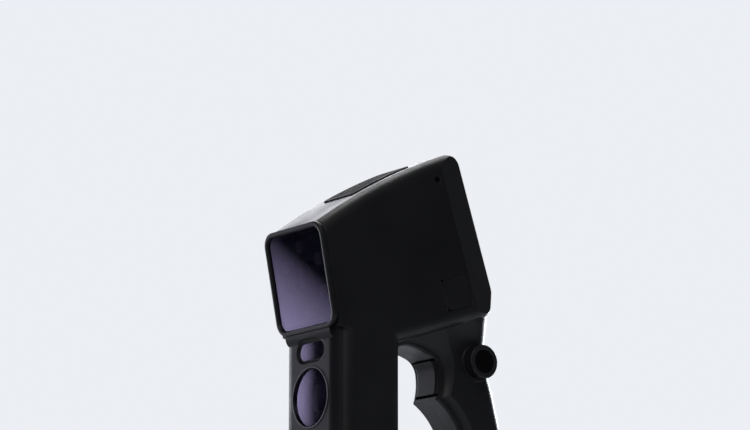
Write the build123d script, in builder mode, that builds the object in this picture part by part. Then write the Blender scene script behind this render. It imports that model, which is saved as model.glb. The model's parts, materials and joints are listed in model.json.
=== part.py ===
from build123d import *
import math
import os

os.makedirs("parts", exist_ok=True)

# Frame: +Z up, the front faces -Y, the user's left hand side is +X
# The origin is the middle of the footprint, under the feet

# Body
BODY_WIDTH = 59.0
HALF_WIDTH = BODY_WIDTH / 2
WALL = 2.2
SEAT_GAP = 0.15
RUNNING_GAP = 0.05
MOVING_GAP = 0.4
FOOT_HEIGHT = 1.0

# Column
COLUMN_FRONT = -67.0
COLUMN_DEPTH = 47.0
COLUMN_REAR = COLUMN_FRONT + COLUMN_DEPTH
COLUMN_CORNER = 11.0
COLUMN_TOP = 135.0

# Base and its plate
BASE_REAR = 81.6
BASE_TOP = 20.0
BASE_REAR_WIDTH = 44.0
BASE_CORNER = 14.0
BASE_EDGE = 5.0
BASE_PLATE_THICKNESS = 3.0

# Head front, on a plane that leans forward
WINDOW_TILT = 11.0
WINDOW_Y = -75.8
WINDOW_Z = 153.5
BEZEL_HEIGHT = 62.0
BEZEL_DEPTH = 3.5
BEZEL_EDGE = 0.9
BEZEL_BEVEL = 0.7
BEZEL_TAPER = 23.0
HEAD_CORNER = 8.5
SPIGOT_DEPTH = 5.0
GLASS_WIDTH = 53.6
GLASS_HEIGHT = 55.6
GLASS_CORNER = 6.0
GLASS_THICKNESS = 1.0
GLASS_RECESS = 1.6
GLASS_LEDGE = 2.0

# Head roof and rear
REAR_TILT = 18.0
REAR_TOP_Y = 22.3
REAR_TOP_Z = 239.4
REAR_LENGTH = 101.5
REAR_BREAK = 87.0
REAR_LOW_DEPTH = 6.8
REAR_DEPTH = 18.8
REAR_WIDTH = 47.0
REAR_TOP_ROUND = 9.0
REAR_LOW_ROUND = 9.0
ROOF_CROWN = 4.0

# Grip sections from the base up: height, rear edge, half width
GRIP_SECTIONS = [
    (14.0, 80.6, 18.5, 12.0),
    (21.0, 80.3, 18.0, 12.0),
    (28.0, 79.0, 17.4, 12.0),
    (50.0, 72.4, 16.8, 12.0),
    (76.0, 65.0, 17.0, 12.0),
    (104.0, 56.8, 17.5, 12.0),
    (118.0, 52.8, 18.6, 12.5),
    (126.0, 52.4, 20.6, 14.0),
    (136.0, 51.9, 25.0, 17.0),
    (146.0, 51.4, 28.2, 20.0),
    (156.0, 47.0, 29.0, 21.0),
]
GRIP_FRONT = -30.0

# Finger opening between the column and the grip
ARCH_SPRING_Z = 105.0
ARCH_CROWN_Y = -4.0
ARCH_CROWN_Z = 119.8
RIDGE_Y = 16.6
RIDGE_Z = 89.8
CEILING_Y = 11.0
CEILING_Z = 116.4
GROOVE_Y = 18.2
GROOVE_Z = 107.5
PALM_Y = 29.7
PALM_Z = 77.8
WAIST_Y = 38.0
WAIST_Z = 54.0
HEEL_Y = 48.5
OPENING_CORNER = 12.0
RIM_HALF_WIDTH = 17.6
RIM_RADIUS = 9.0
RIM_REACH = 7.0
RIM_FLARES = [15.0, 30.0, 45.0, 60.0]

# Fascia and its windows
FASCIA_DEPTH = 4.0
FASCIA_TOP = 123.0
FASCIA_BOTTOM = 4.0
FASCIA_LIP = 2.4
LIP_HEIGHT = 5.5
LIP_EDGE = 0.6
LIP_RADIUS = 7.0
ROUND_WINDOW_Z = 85.0
ROUND_WINDOW_DIAMETER = 34.0
ROUND_RING_WIDTH = 1.2
RING_PROUD = 0.3
RING_EDGE = 0.25
ROUND_RECESS = 1.2
PILL_Z = 112.3
PILL_LENGTH = 24.0
PILL_HEIGHT = 10.0
PILL_SURROUND = 2.2
PILL_RECESS = 1.4
PILL_TAPER = 50.0
PANE_THICKNESS = 1.4
PANE_LEDGE = 1.6

# Optics behind the head window
LAMP_COUNT = 6
LAMP_TURN = 30.0
LAMP_RING_RADIUS = 19.0
LAMP_RADIUS = 4.0
LAMP_HEIGHT = 5.0
LAMP_EDGE = 1.2
BOARD_THICKNESS = 1.6
UPPER_BARREL_RADIUS = 10.5
LENS_SETBACK = 0.4
LENS_RECESS = 0.4
LENS_THICKNESS = 2.0
BARREL_WALL = 2.5
UPPER_BARREL_LENGTH = 20.0
UPPER_CAMERA_SIZE = 26.0
UPPER_CAMERA_LENGTH = 14.0
CAMERA_CORNER = 2.0
BENCH_THICKNESS = 3.0
HEAD_BENCH_HEIGHT = 50.0
BENCH_CORNER = 4.0
RAIL_WIDTH = 4.0
RAIL_DEPTH = 3.0

# Optics behind the column windows
COLUMN_BENCH_SETBACK = 24.0
COLUMN_BENCH_LOW = 62.0
COLUMN_BENCH_HIGH = 121.0
LOWER_BARREL_RADIUS = 12.0
LOWER_CAMERA_SIZE = 28.0
LOWER_CAMERA_LENGTH = 10.0
LASER_WIDTH = 26.0
LASER_HEIGHT = 12.0

# Vent, fan, heat sink and main board, stacked under the roof
VENT_WIDTH = 32.0
VENT_LENGTH = 48.0
VENT_SHIFT = 3.0
VENT_CORNER = 4.0
VENT_PROUD = 0.8
VENT_FLANGE = 2.5
VENT_FLANGE_THICKNESS = 1.2
VENT_FRAME = 2.5
LOUVRE_PITCH = 2.6
LOUVRE_WIDTH = 1.2
LOUVRE_COUNT = 16
FAN_SIZE = 30.0
FAN_THICKNESS = 8.0
FAN_BORE_RADIUS = 13.9
FAN_HUB_RADIUS = 6.5
FAN_SHAFT_RADIUS = 1.0
FAN_BLADES = 7
FAN_CORNER = 2.0
FAN_FLOOR = 1.2
FAN_SPOKES = 3
FAN_SPOKE_WIDTH = 2.0
BLADE_THICKNESS = 0.9
BLADE_LENGTH = 8.2
BLADE_MIDDLE = 9.3
BLADE_TURN = 25.0
SINK_SIZE = 34.0
SINK_FIN_HEIGHT = 8.0
SINK_BASE = 2.5
SINK_FINS = 9
FIN_THICKNESS = 1.2
CHIP_SIZE = 18.0
CHIP_THICKNESS = 1.5
MAIN_BOARD_FRONT = 34.0
MAIN_BOARD_REAR = 22.0

# Display and power button on the rear face
DISPLAY_WIDTH = 41.0
DISPLAY_LENGTH = 62.0
DISPLAY_CORNER = 4.0
DISPLAY_GLASS_THICKNESS = 1.2
DISPLAY_LEDGE = 2.0
DISPLAY_ALONG = 41.0
PANEL_THICKNESS = 3.5
POWER_ALONG = 80.0
POWER_RADIUS = 4.5
POWER_TRAVEL = 0.8
POWER_PROUD = 0.8
POWER_FLANGE = 1.0
POWER_SWITCH_SIZE = 6.0
POWER_SWITCH_HEIGHT = 3.0
SWITCH_BRIDGE_LENGTH = 18.0
SWITCH_BRIDGE_WIDTH = 9.0
SWITCH_BRIDGE_LEG = 2.2

# Trigger
TRIGGER_WIDTH = 21.0
TRIGGER_PROUD = 1.2
TRIGGER_THICKNESS = 6.0
TRIGGER_LOW = 93.4
TRIGGER_HIGH = 113.0
TRIGGER_SWEEP = 1.2
TRIGGER_EDGE = 2.4
TRIGGER_PIN_Y = 23.2
TRIGGER_PIN_Z = 110.5
TRIGGER_PIN_RADIUS = 1.5
TRIGGER_PIN_LENGTH = 24.0
TRIGGER_POST_RADIUS = 3.0
TRIGGER_BOSS_RADIUS = 3.6
NOSE_WIDTH = 6.0
NOSE_HEIGHT = 3.0
NOSE_END = 32.0
SPRING_X = 5.5
SPRING_Z = 103.5
SPRING_RADIUS = 2.6
SPRING_WIRE = 0.6
SPRING_SEAT = 36.0
SPRING_POST = 2.5
SPRING_TURNS = 5
SHELF_TOP = 89.0
SHELF_THICKNESS = 2.0
SWITCH_FRONT = 36.0
SWITCH_DEPTH = 14.0
SWITCH_WIDTH = 7.0
SWITCH_HEIGHT = 10.0
SWITCH_PLUNGER = 1.4

# Dial and its encoder
DIAL_Y = 41.2
DIAL_Z = 113.0
DIAL_RADIUS = 10.2
DIAL_HEIGHT = 5.4
DIAL_TRAVEL = 0.6
DIAL_KNURLS = 40
KNURL_RADIUS = 0.55
DIAL_EDGE = 0.8
DIAL_CAP_RADIUS = 7.2
DIAL_CAP_THICKNESS = 1.0
PLUNGER_RADIUS = 4.4
PLUNGER_THICKNESS = 1.4
DIAL_PAD_RADIUS = 11.2
DIAL_PAD_FACE = 19.6
ENCODER_FACE = 12.0
ENCODER_SIZE = 10.4
ENCODER_DEPTH = 7.0
ENCODER_SHAFT_RADIUS = 3.0
ENCODER_BUSH_RADIUS = 4.5

# Port flap
FLAP_ALONG = 82.2
FLAP_DEPTH = 30.8
FLAP_WIDTH = 19.0
FLAP_HEIGHT = 19.0
FLAP_CORNER = 3.0
FLAP_THICKNESS = 1.8
FLAP_GAP = 0.35
FLAP_BARREL_RADIUS = 1.2
FLAP_PIN_RADIUS = 0.6
SOCKET_WIDTH = 9.0
SOCKET_HEIGHT = 3.3
SOCKET_WALL = 0.35
SOCKET_MOUTH = 3.5
TONGUE_LENGTH = 2.8
PORT_PAD_DEPTH = 7.0
PORT_PAD_MARGIN = 1.8

# Battery
SLEEVE_RADIUS = 11.6
CELL_RADIUS = 10.6
CELL_LENGTH = 70.0
GRIP_LEAN = 16.2
CELL_Y = 56.0
CELL_Z = 47.0
RIB_HEIGHTS = [30.0, 68.0]
RIB_THICKNESS = 2.0

# Tripod insert, feet and screws
TRIPOD_RADIUS = 3.175
TRIPOD_LENGTH = 9.0
INSERT_RADIUS = 6.0
INSERT_WALL = 2.5
FOOT_RADIUS = 5.0
FOOT_SINK = 1.0
FOOT_PLACES = [(-18.0, -55.0), (18.0, -55.0), (-11.0, 64.0), (11.0, 64.0)]
SCREW_RADIUS = 1.25
SCREW_HEAD_RADIUS = 1.9
SCREW_HEAD_HEIGHT = 1.6
SCREW_BOSS_RADIUS = 3.6
SCREW_REACH = 8.0
SCREW_SINK = 4.0
SIDE_SCREWS = [
    (4.1, 218.3, 1, HALF_WIDTH),
    (-35.6, 112.0, -1, HALF_WIDTH),
    (-35.6, 42.0, -1, HALF_WIDTH),
    (26.0, 131.0, -1, 22.2),
]
BASE_SCREWS = [(-24.6, -50.0), (24.6, -50.0), (-19.8, 40.0), (19.8, 40.0)]


def sine(angle):
    return math.sin(math.radians(angle))


def cosine(angle):
    return math.cos(math.radians(angle))


def window_point(up, depth):
    """Side-view point of the head front: up along the window, depth behind it."""
    y = WINDOW_Y - up * sine(WINDOW_TILT) + depth * cosine(WINDOW_TILT)
    z = WINDOW_Z + up * cosine(WINDOW_TILT) + depth * sine(WINDOW_TILT)
    return (y, z)


def rear_point(along, depth):
    """Side-view point of the rear face: along is measured down from its top corner."""
    y = REAR_TOP_Y + along * sine(REAR_TILT) - depth * cosine(REAR_TILT)
    z = REAR_TOP_Z - along * cosine(REAR_TILT) - depth * sine(REAR_TILT)
    return (y, z)


# Working planes
window_plane = Plane(
    origin=(0, WINDOW_Y, WINDOW_Z),
    x_dir=(1, 0, 0),
    z_dir=(0, -cosine(WINDOW_TILT), -sine(WINDOW_TILT)),
)
rear_origin = rear_point(DISPLAY_ALONG, 0)
rear_plane = Plane(
    origin=(0, rear_origin[0], rear_origin[1]),
    x_dir=(-1, 0, 0),
    z_dir=(0, cosine(REAR_TILT), sine(REAR_TILT)),
)
roof_front = window_point(BEZEL_HEIGHT / 2, BEZEL_DEPTH)
roof_rear = (REAR_TOP_Y, REAR_TOP_Z)
roof_chord = math.dist(roof_front, roof_rear)
roof_radius = (roof_chord**2 / 4 + ROOF_CROWN**2) / (2 * ROOF_CROWN)
roof_slope = math.degrees(math.atan2(roof_rear[1] - roof_front[1], roof_rear[0] - roof_front[0]))
crown_y = (roof_front[0] + roof_rear[0]) / 2 - ROOF_CROWN * sine(roof_slope)
crown_z = (roof_front[1] + roof_rear[1]) / 2 + ROOF_CROWN * cosine(roof_slope)
roof_centre = (crown_y + roof_radius * sine(roof_slope), crown_z - roof_radius * cosine(roof_slope))
roof_plane = Plane(
    origin=(0, crown_y, crown_z),
    x_dir=(1, 0, 0),
    z_dir=(0, -sine(roof_slope), cosine(roof_slope)),
)
vent_plane = Plane(
    origin=roof_plane.from_local_coords((0, VENT_SHIFT, 0)),
    x_dir=roof_plane.x_dir,
    z_dir=roof_plane.z_dir,
)
flap_centre = rear_point(FLAP_ALONG, FLAP_DEPTH)
flap_plane = Plane(
    origin=(HALF_WIDTH, flap_centre[0], flap_centre[1]),
    x_dir=(0, cosine(REAR_TILT), sine(REAR_TILT)),
    z_dir=(1, 0, 0),
)
column_front_plane = Plane(origin=(0, COLUMN_FRONT, 0), x_dir=(1, 0, 0), z_dir=(0, -1, 0))
cell_plane = Plane(
    origin=(0, CELL_Y, CELL_Z),
    x_dir=(1, 0, 0),
    z_dir=(0, -sine(GRIP_LEAN), cosine(GRIP_LEAN)),
)


# Body forms, each made for an inset so that the casing and its hollow share one outline
def head_form(inset):
    """Head with its crowned roof, tapered at the rear."""
    rear_break = rear_point(REAR_BREAK, 0)
    rear_low = rear_point(REAR_LENGTH, REAR_LOW_DEPTH)
    under_y = COLUMN_REAR - COLUMN_CORNER
    under_z = rear_low[1] - (rear_low[0] - under_y) * math.tan(math.radians(REAR_TILT))
    front_low = window_point(-BEZEL_HEIGHT / 2, BEZEL_DEPTH)
    with BuildPart() as form:
        with BuildSketch(Plane.YZ) as side:
            with BuildLine():
                Polyline(roof_rear, rear_break, rear_low, (under_y, under_z), front_low, roof_front)
                ThreePointArc(roof_front, (crown_y, crown_z), roof_rear)
            make_face()
            fillet(side.vertices().sort_by(Axis.Y)[-1:], REAR_TOP_ROUND)
            fillet(side.vertices().sort_by(Axis.X)[-2:], REAR_LOW_ROUND)
            if inset:
                offset(amount=-inset, mode=Mode.REPLACE)
        extrude(amount=HALF_WIDTH - inset, both=True)
        fillet(form.edges().filter_by(GeomType.CIRCLE), HEAD_CORNER - inset)
        taper_plane = Plane(
            origin=(0, *rear_point(-REAR_DEPTH, 0)),
            x_dir=(1, 0, 0),
            z_dir=(0, sine(REAR_TILT), -cosine(REAR_TILT)),
        )
        with BuildSketch(taper_plane):
            for side_sign in (-1, 1):
                with BuildLine():
                    Polyline(
                        (side_sign * (HALF_WIDTH - inset), REAR_DEPTH),
                        (side_sign * (REAR_WIDTH / 2 - inset), 0),
                        (side_sign * (REAR_WIDTH / 2 - inset), -REAR_DEPTH),
                        (side_sign * BODY_WIDTH, -REAR_DEPTH),
                        (side_sign * BODY_WIDTH, REAR_DEPTH),
                        close=True,
                    )
                make_face()
        extrude(amount=REAR_LENGTH + 2 * REAR_DEPTH, mode=Mode.SUBTRACT)
    return form.part


def column_form(inset):
    """Front column, from the base up into the head."""
    with BuildPart() as form:
        with BuildSketch(Plane.XY.offset(FOOT_HEIGHT)):
            with Locations((0, (COLUMN_FRONT + COLUMN_REAR) / 2)):
                RectangleRounded(BODY_WIDTH - 2 * inset, COLUMN_DEPTH - 2 * inset, COLUMN_CORNER - inset)
        extrude(amount=COLUMN_TOP - FOOT_HEIGHT)
    return form.part


def base_form(inset):
    """Base bridge under the column and the grip, open below when inset."""
    front = COLUMN_FRONT + inset
    rear = BASE_REAR - inset
    with BuildPart() as form:
        with BuildSketch(Plane.XY.offset(FOOT_HEIGHT)) as outline:
            with BuildLine():
                Polyline(
                    (-HALF_WIDTH + inset, front),
                    (HALF_WIDTH - inset, front),
                    (HALF_WIDTH - inset, COLUMN_REAR),
                    (BASE_REAR_WIDTH / 2 - inset, rear),
                    (-BASE_REAR_WIDTH / 2 + inset, rear),
                    (-HALF_WIDTH + inset, COLUMN_REAR),
                    close=True,
                )
            make_face()
            fillet(outline.vertices().group_by(Axis.Y)[0], COLUMN_CORNER - inset)
            fillet(outline.vertices().group_by(Axis.Y)[-1], BASE_CORNER - inset)
        extrude(amount=BASE_TOP - FOOT_HEIGHT - inset)
        fillet(form.faces().sort_by(Axis.Z)[-1].edges(), BASE_EDGE - inset / 2)
    return form.part


def grip_form(inset):
    """Grip, neck and arch web as one loft; the finger opening is cut from it later."""
    with BuildPart() as form:
        for height, rear, half_width, corner in GRIP_SECTIONS:
            with BuildSketch(Plane.XY.offset(height)):
                with Locations((0, (GRIP_FRONT + rear - inset) / 2)):
                    RectangleRounded(2 * (half_width - inset), rear - inset - GRIP_FRONT, corner - inset)
        loft()
    return form.part


def opening_outline():
    """Finger opening of lines and arcs, drawn flat: across is Y and up is Z."""
    with BuildSketch() as outline:
        with BuildLine():
            Line((COLUMN_REAR, BASE_TOP), (COLUMN_REAR, ARCH_SPRING_Z))
            arch = TangentArc((COLUMN_REAR, ARCH_SPRING_Z), (ARCH_CROWN_Y, ARCH_CROWN_Z), tangent=(0, 1))
            ceiling = TangentArc(arch @ 1, (CEILING_Y, CEILING_Z), tangent=arch % 1)
            shoulder = TangentArc(ceiling @ 1, (GROOVE_Y, GROOVE_Z), tangent=ceiling % 1)
            TangentArc(shoulder @ 1, (RIDGE_Y, RIDGE_Z), tangent=shoulder % 1)
            ThreePointArc((RIDGE_Y, RIDGE_Z), (PALM_Y, PALM_Z), (WAIST_Y, WAIST_Z))
            Line((WAIST_Y, WAIST_Z), (HEEL_Y, BASE_TOP))
            Line((HEEL_Y, BASE_TOP), (COLUMN_REAR, BASE_TOP))
        make_face()
        fillet(outline.vertices().group_by(Axis.Y)[0], OPENING_CORNER)
    return outline.sketch


def opening_form(grow):
    """Finger opening, enlarged by grow for the wall around it."""
    with BuildPart() as form:
        with BuildSketch(Plane.YZ):
            add(opening_outline())
            if grow:
                offset(amount=grow, mode=Mode.REPLACE)
        extrude(amount=BODY_WIDTH, both=True)
    return form.part


def opening_rim(grow):
    """Flats of the opening's rounded rim on both sides, clear of the column, the base and the head."""
    with BuildPart() as form:
        for flare in RIM_FLARES:
            start = RIM_HALF_WIDTH - RIM_RADIUS + (RIM_RADIUS - grow) * math.tan(math.radians(flare / 2))
            for side_sign in (-1, 1):
                with BuildSketch(Plane.YZ.offset(side_sign * start)):
                    add(opening_outline())
                    if grow:
                        offset(amount=grow, mode=Mode.REPLACE)
                extrude(amount=side_sign * (RIM_HALF_WIDTH + RIM_REACH - start), taper=-flare)
        with BuildSketch(Plane.YZ):
            with Locations((COLUMN_REAR, BASE_TOP)):
                Rectangle(2 * BODY_WIDTH, 2 * BODY_WIDTH, align=(Align.MIN, Align.MIN))
        extrude(amount=BODY_WIDTH, both=True, mode=Mode.INTERSECT)
        add(head_form(grow), mode=Mode.SUBTRACT)
    return form.part


# Casing: outer form less its hollow, with the openings that its panels close
def rear_zone():
    """Space behind the rear seam, which the rear housing fills."""
    with BuildPart() as zone:
        with BuildSketch(Plane.YZ):
            with BuildLine():
                Polyline(
                    rear_point(-2 * REAR_DEPTH, REAR_DEPTH),
                    rear_point(REAR_LENGTH, REAR_DEPTH),
                    rear_point(REAR_LENGTH, -2 * REAR_DEPTH),
                    rear_point(-2 * REAR_DEPTH, -2 * REAR_DEPTH),
                    close=True,
                )
            make_face()
        extrude(amount=BODY_WIDTH, both=True)
    return zone.part


def fascia_zone():
    """Space in front of the column, which the fascia fills."""
    with BuildPart() as zone:
        with BuildSketch(column_front_plane.offset(-FASCIA_DEPTH)):
            with Locations((0, (FASCIA_BOTTOM + FASCIA_TOP) / 2)):
                Rectangle(2 * BODY_WIDTH, FASCIA_TOP - FASCIA_BOTTOM)
        extrude(amount=2 * FASCIA_DEPTH)
    return zone.part


def roof_layer(width, length, corner, low, high):
    """Rounded plate that follows the roof, between two heights over it."""
    with BuildPart() as layer:
        with BuildSketch(vent_plane):
            RectangleRounded(width, length, corner)
        extrude(amount=2 * WALL + ROOF_CROWN, both=True)
        with BuildSketch(Plane.YZ):
            with Locations(roof_centre):
                Circle(roof_radius + high)
                Circle(roof_radius + low, mode=Mode.SUBTRACT)
        extrude(amount=width, both=True, mode=Mode.INTERSECT)
    return layer.part


def side_cylinder(y, z, radius, x_low, x_high):
    """Cylinder along X between two places."""
    with BuildPart() as cylinder:
        with BuildSketch(Plane.YZ.offset(x_low)):
            with Locations((y, z)):
                Circle(radius)
        extrude(amount=x_high - x_low)
    return cylinder.part


def cell_cylinder(radius, low, high):
    """Cylinder along the battery's axis, measured from its middle."""
    with BuildPart() as cylinder:
        with BuildSketch(cell_plane.offset(low)):
            Circle(radius)
        extrude(amount=high - low)
    return cylinder.part


def level_slab(low, high):
    """Wide slab between two heights."""
    with BuildPart() as slab:
        with BuildSketch(Plane.XY.offset(low)):
            Rectangle(4 * BODY_WIDTH, 8 * BODY_WIDTH)
        extrude(amount=high - low)
    return slab.part


# Depths of the stack behind the window and under the roof
spigot_end = BEZEL_DEPTH + SPIGOT_DEPTH
glass_back = GLASS_RECESS + GLASS_THICKNESS
lens_front = glass_back + LENS_SETBACK
head_bench_front = lens_front + UPPER_BARREL_LENGTH
fan_top = WALL + VENT_FLANGE_THICKNESS + 2 * SEAT_GAP
sink_top = fan_top + FAN_THICKNESS
chip_top = sink_top + SINK_FIN_HEIGHT + SINK_BASE
main_board_top = chip_top + CHIP_THICKNESS
main_board_bottom = main_board_top + BOARD_THICKNESS
inner_half = HALF_WIDTH - WALL
cell_half = CELL_LENGTH / 2
sleeve_half = cell_half + BOARD_THICKNESS
power_y = DISPLAY_ALONG - POWER_ALONG
switch_back = WALL + POWER_SWITCH_HEIGHT + 3 * POWER_TRAVEL
flange_pocket = SEAT_GAP + POWER_FLANGE + POWER_TRAVEL + MOVING_GAP
bridge_leg_x = (SWITCH_BRIDGE_LENGTH - SWITCH_BRIDGE_LEG) / 2
board_middle = (MAIN_BOARD_REAR - MAIN_BOARD_FRONT) / 2
board_length = MAIN_BOARD_FRONT + MAIN_BOARD_REAR
rail_x = inner_half - RAIL_WIDTH / 4
column_bench_middle = (COLUMN_BENCH_LOW + COLUMN_BENCH_HIGH) / 2
column_bench_height = COLUMN_BENCH_HIGH - COLUMN_BENCH_LOW
base_plate_top = FOOT_HEIGHT + BASE_PLATE_THICKNESS
fascia_back = COLUMN_FRONT + FASCIA_DEPTH
lip_front = COLUMN_FRONT - FASCIA_LIP
lip_bottom = FASCIA_TOP - LIP_HEIGHT
round_ring_radius = ROUND_WINDOW_DIAMETER / 2 + ROUND_RING_WIDTH
dial_low = DIAL_PAD_FACE + DIAL_TRAVEL + MOVING_GAP
dial_high = dial_low + DIAL_HEIGHT
cap_low = dial_high - DIAL_CAP_THICKNESS
shaft_bore = ENCODER_SHAFT_RADIUS + RUNNING_GAP
plunger_face = ENCODER_FACE - ENCODER_DEPTH / 2
cavity_low = plunger_face - PLUNGER_THICKNESS - DIAL_TRAVEL - MOVING_GAP
cavity_high = plunger_face + MOVING_GAP
bush_radius = ENCODER_BUSH_RADIUS + SEAT_GAP
barrel_half = FLAP_HEIGHT / 2 - FLAP_CORNER
trigger_half = TRIGGER_WIDTH / 2
trigger_bore = TRIGGER_PIN_RADIUS + RUNNING_GAP
pin_half = TRIGGER_PIN_LENGTH / 2
trigger_boss_inner = trigger_half + 2 * MOVING_GAP
trigger_boss_outer = pin_half + WALL
flap_recess = 2 * FLAP_BARREL_RADIUS
hinge_half = FLAP_HEIGHT / 2 + FLAP_GAP
flap_pin_half = FLAP_HEIGHT / 2 + WALL
hinge_plane = Plane(
    origin=flap_plane.from_local_coords((-FLAP_WIDTH / 2, 0, -FLAP_BARREL_RADIUS)),
    x_dir=flap_plane.x_dir,
    z_dir=-flap_plane.y_dir,
)

with BuildPart() as outer:
    add(head_form(0))
    add(column_form(0))
    add(base_form(0))
    add(grip_form(0))
    add(opening_form(0), mode=Mode.SUBTRACT)
    add(opening_rim(0), mode=Mode.SUBTRACT)

with BuildPart() as hollow:
    add(head_form(WALL))
    add(column_form(WALL))
    add(base_form(WALL))
    add(grip_form(WALL))
    add(opening_form(WALL), mode=Mode.SUBTRACT)
    add(opening_rim(WALL), mode=Mode.SUBTRACT)

with BuildPart() as casing:
    add(outer.part)
    add(hollow.part, mode=Mode.SUBTRACT)
    with BuildSketch(window_plane):
        RectangleRounded(2 * inner_half, BEZEL_HEIGHT - 2 * WALL, HEAD_CORNER - WALL)
    extrude(amount=-spigot_end, mode=Mode.SUBTRACT)
    with BuildSketch(window_plane):
        RectangleRounded(BODY_WIDTH + 2 * SEAT_GAP, BEZEL_HEIGHT + 2 * SEAT_GAP, HEAD_CORNER + SEAT_GAP)
    extrude(amount=-BEZEL_DEPTH, mode=Mode.SUBTRACT)
    add(fascia_zone(), mode=Mode.SUBTRACT)

with BuildPart() as rear_housing:
    add(casing.part)
    add(rear_zone(), mode=Mode.INTERSECT)
    with BuildSketch(rear_plane):
        RectangleRounded(DISPLAY_WIDTH + 2 * SEAT_GAP, DISPLAY_LENGTH + 2 * SEAT_GAP, DISPLAY_CORNER)
    extrude(amount=-DISPLAY_GLASS_THICKNESS, mode=Mode.SUBTRACT)
    with BuildSketch(rear_plane):
        Rectangle(DISPLAY_WIDTH - 2 * DISPLAY_LEDGE, DISPLAY_LENGTH - 2 * DISPLAY_LEDGE)
    extrude(amount=-2 * WALL, mode=Mode.SUBTRACT)
    with BuildSketch(rear_plane.offset(-switch_back)):
        with Locations((0, power_y)):
            Rectangle(SWITCH_BRIDGE_LENGTH, SWITCH_BRIDGE_WIDTH)
    extrude(amount=-BOARD_THICKNESS)
    with BuildSketch(rear_plane.offset(-switch_back)):
        with Locations((-bridge_leg_x, power_y), (bridge_leg_x, power_y)):
            Rectangle(SWITCH_BRIDGE_LEG, SWITCH_BRIDGE_WIDTH)
    extrude(amount=switch_back - WALL / 2)
    with BuildSketch(rear_plane):
        with Locations((0, power_y)):
            Circle(POWER_RADIUS + SEAT_GAP)
    extrude(amount=-2 * WALL, mode=Mode.SUBTRACT)
    with BuildSketch(rear_plane.offset(-WALL)):
        with Locations((0, power_y)):
            Circle(POWER_RADIUS + POWER_FLANGE + MOVING_GAP)
    extrude(amount=-flange_pocket, mode=Mode.SUBTRACT)

with BuildPart() as ribs:
    add(level_slab(SHELF_TOP - SHELF_THICKNESS, SHELF_TOP))
    for rib_height in RIB_HEIGHTS:
        add(level_slab(rib_height, rib_height + RIB_THICKNESS))
    add(grip_form(WALL / 2), mode=Mode.INTERSECT)
    add(opening_form(WALL / 2), mode=Mode.SUBTRACT)
    add(opening_rim(WALL / 2), mode=Mode.SUBTRACT)
    with BuildSketch(Plane.XY.offset(FOOT_HEIGHT)):
        with Locations((0, COLUMN_REAR)):
            Rectangle(2 * BODY_WIDTH, BODY_WIDTH)
    extrude(amount=2 * COLUMN_TOP, mode=Mode.SUBTRACT)
    add(cell_cylinder(SLEEVE_RADIUS + SEAT_GAP, -CELL_LENGTH, sleeve_half), mode=Mode.SUBTRACT)

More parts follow.
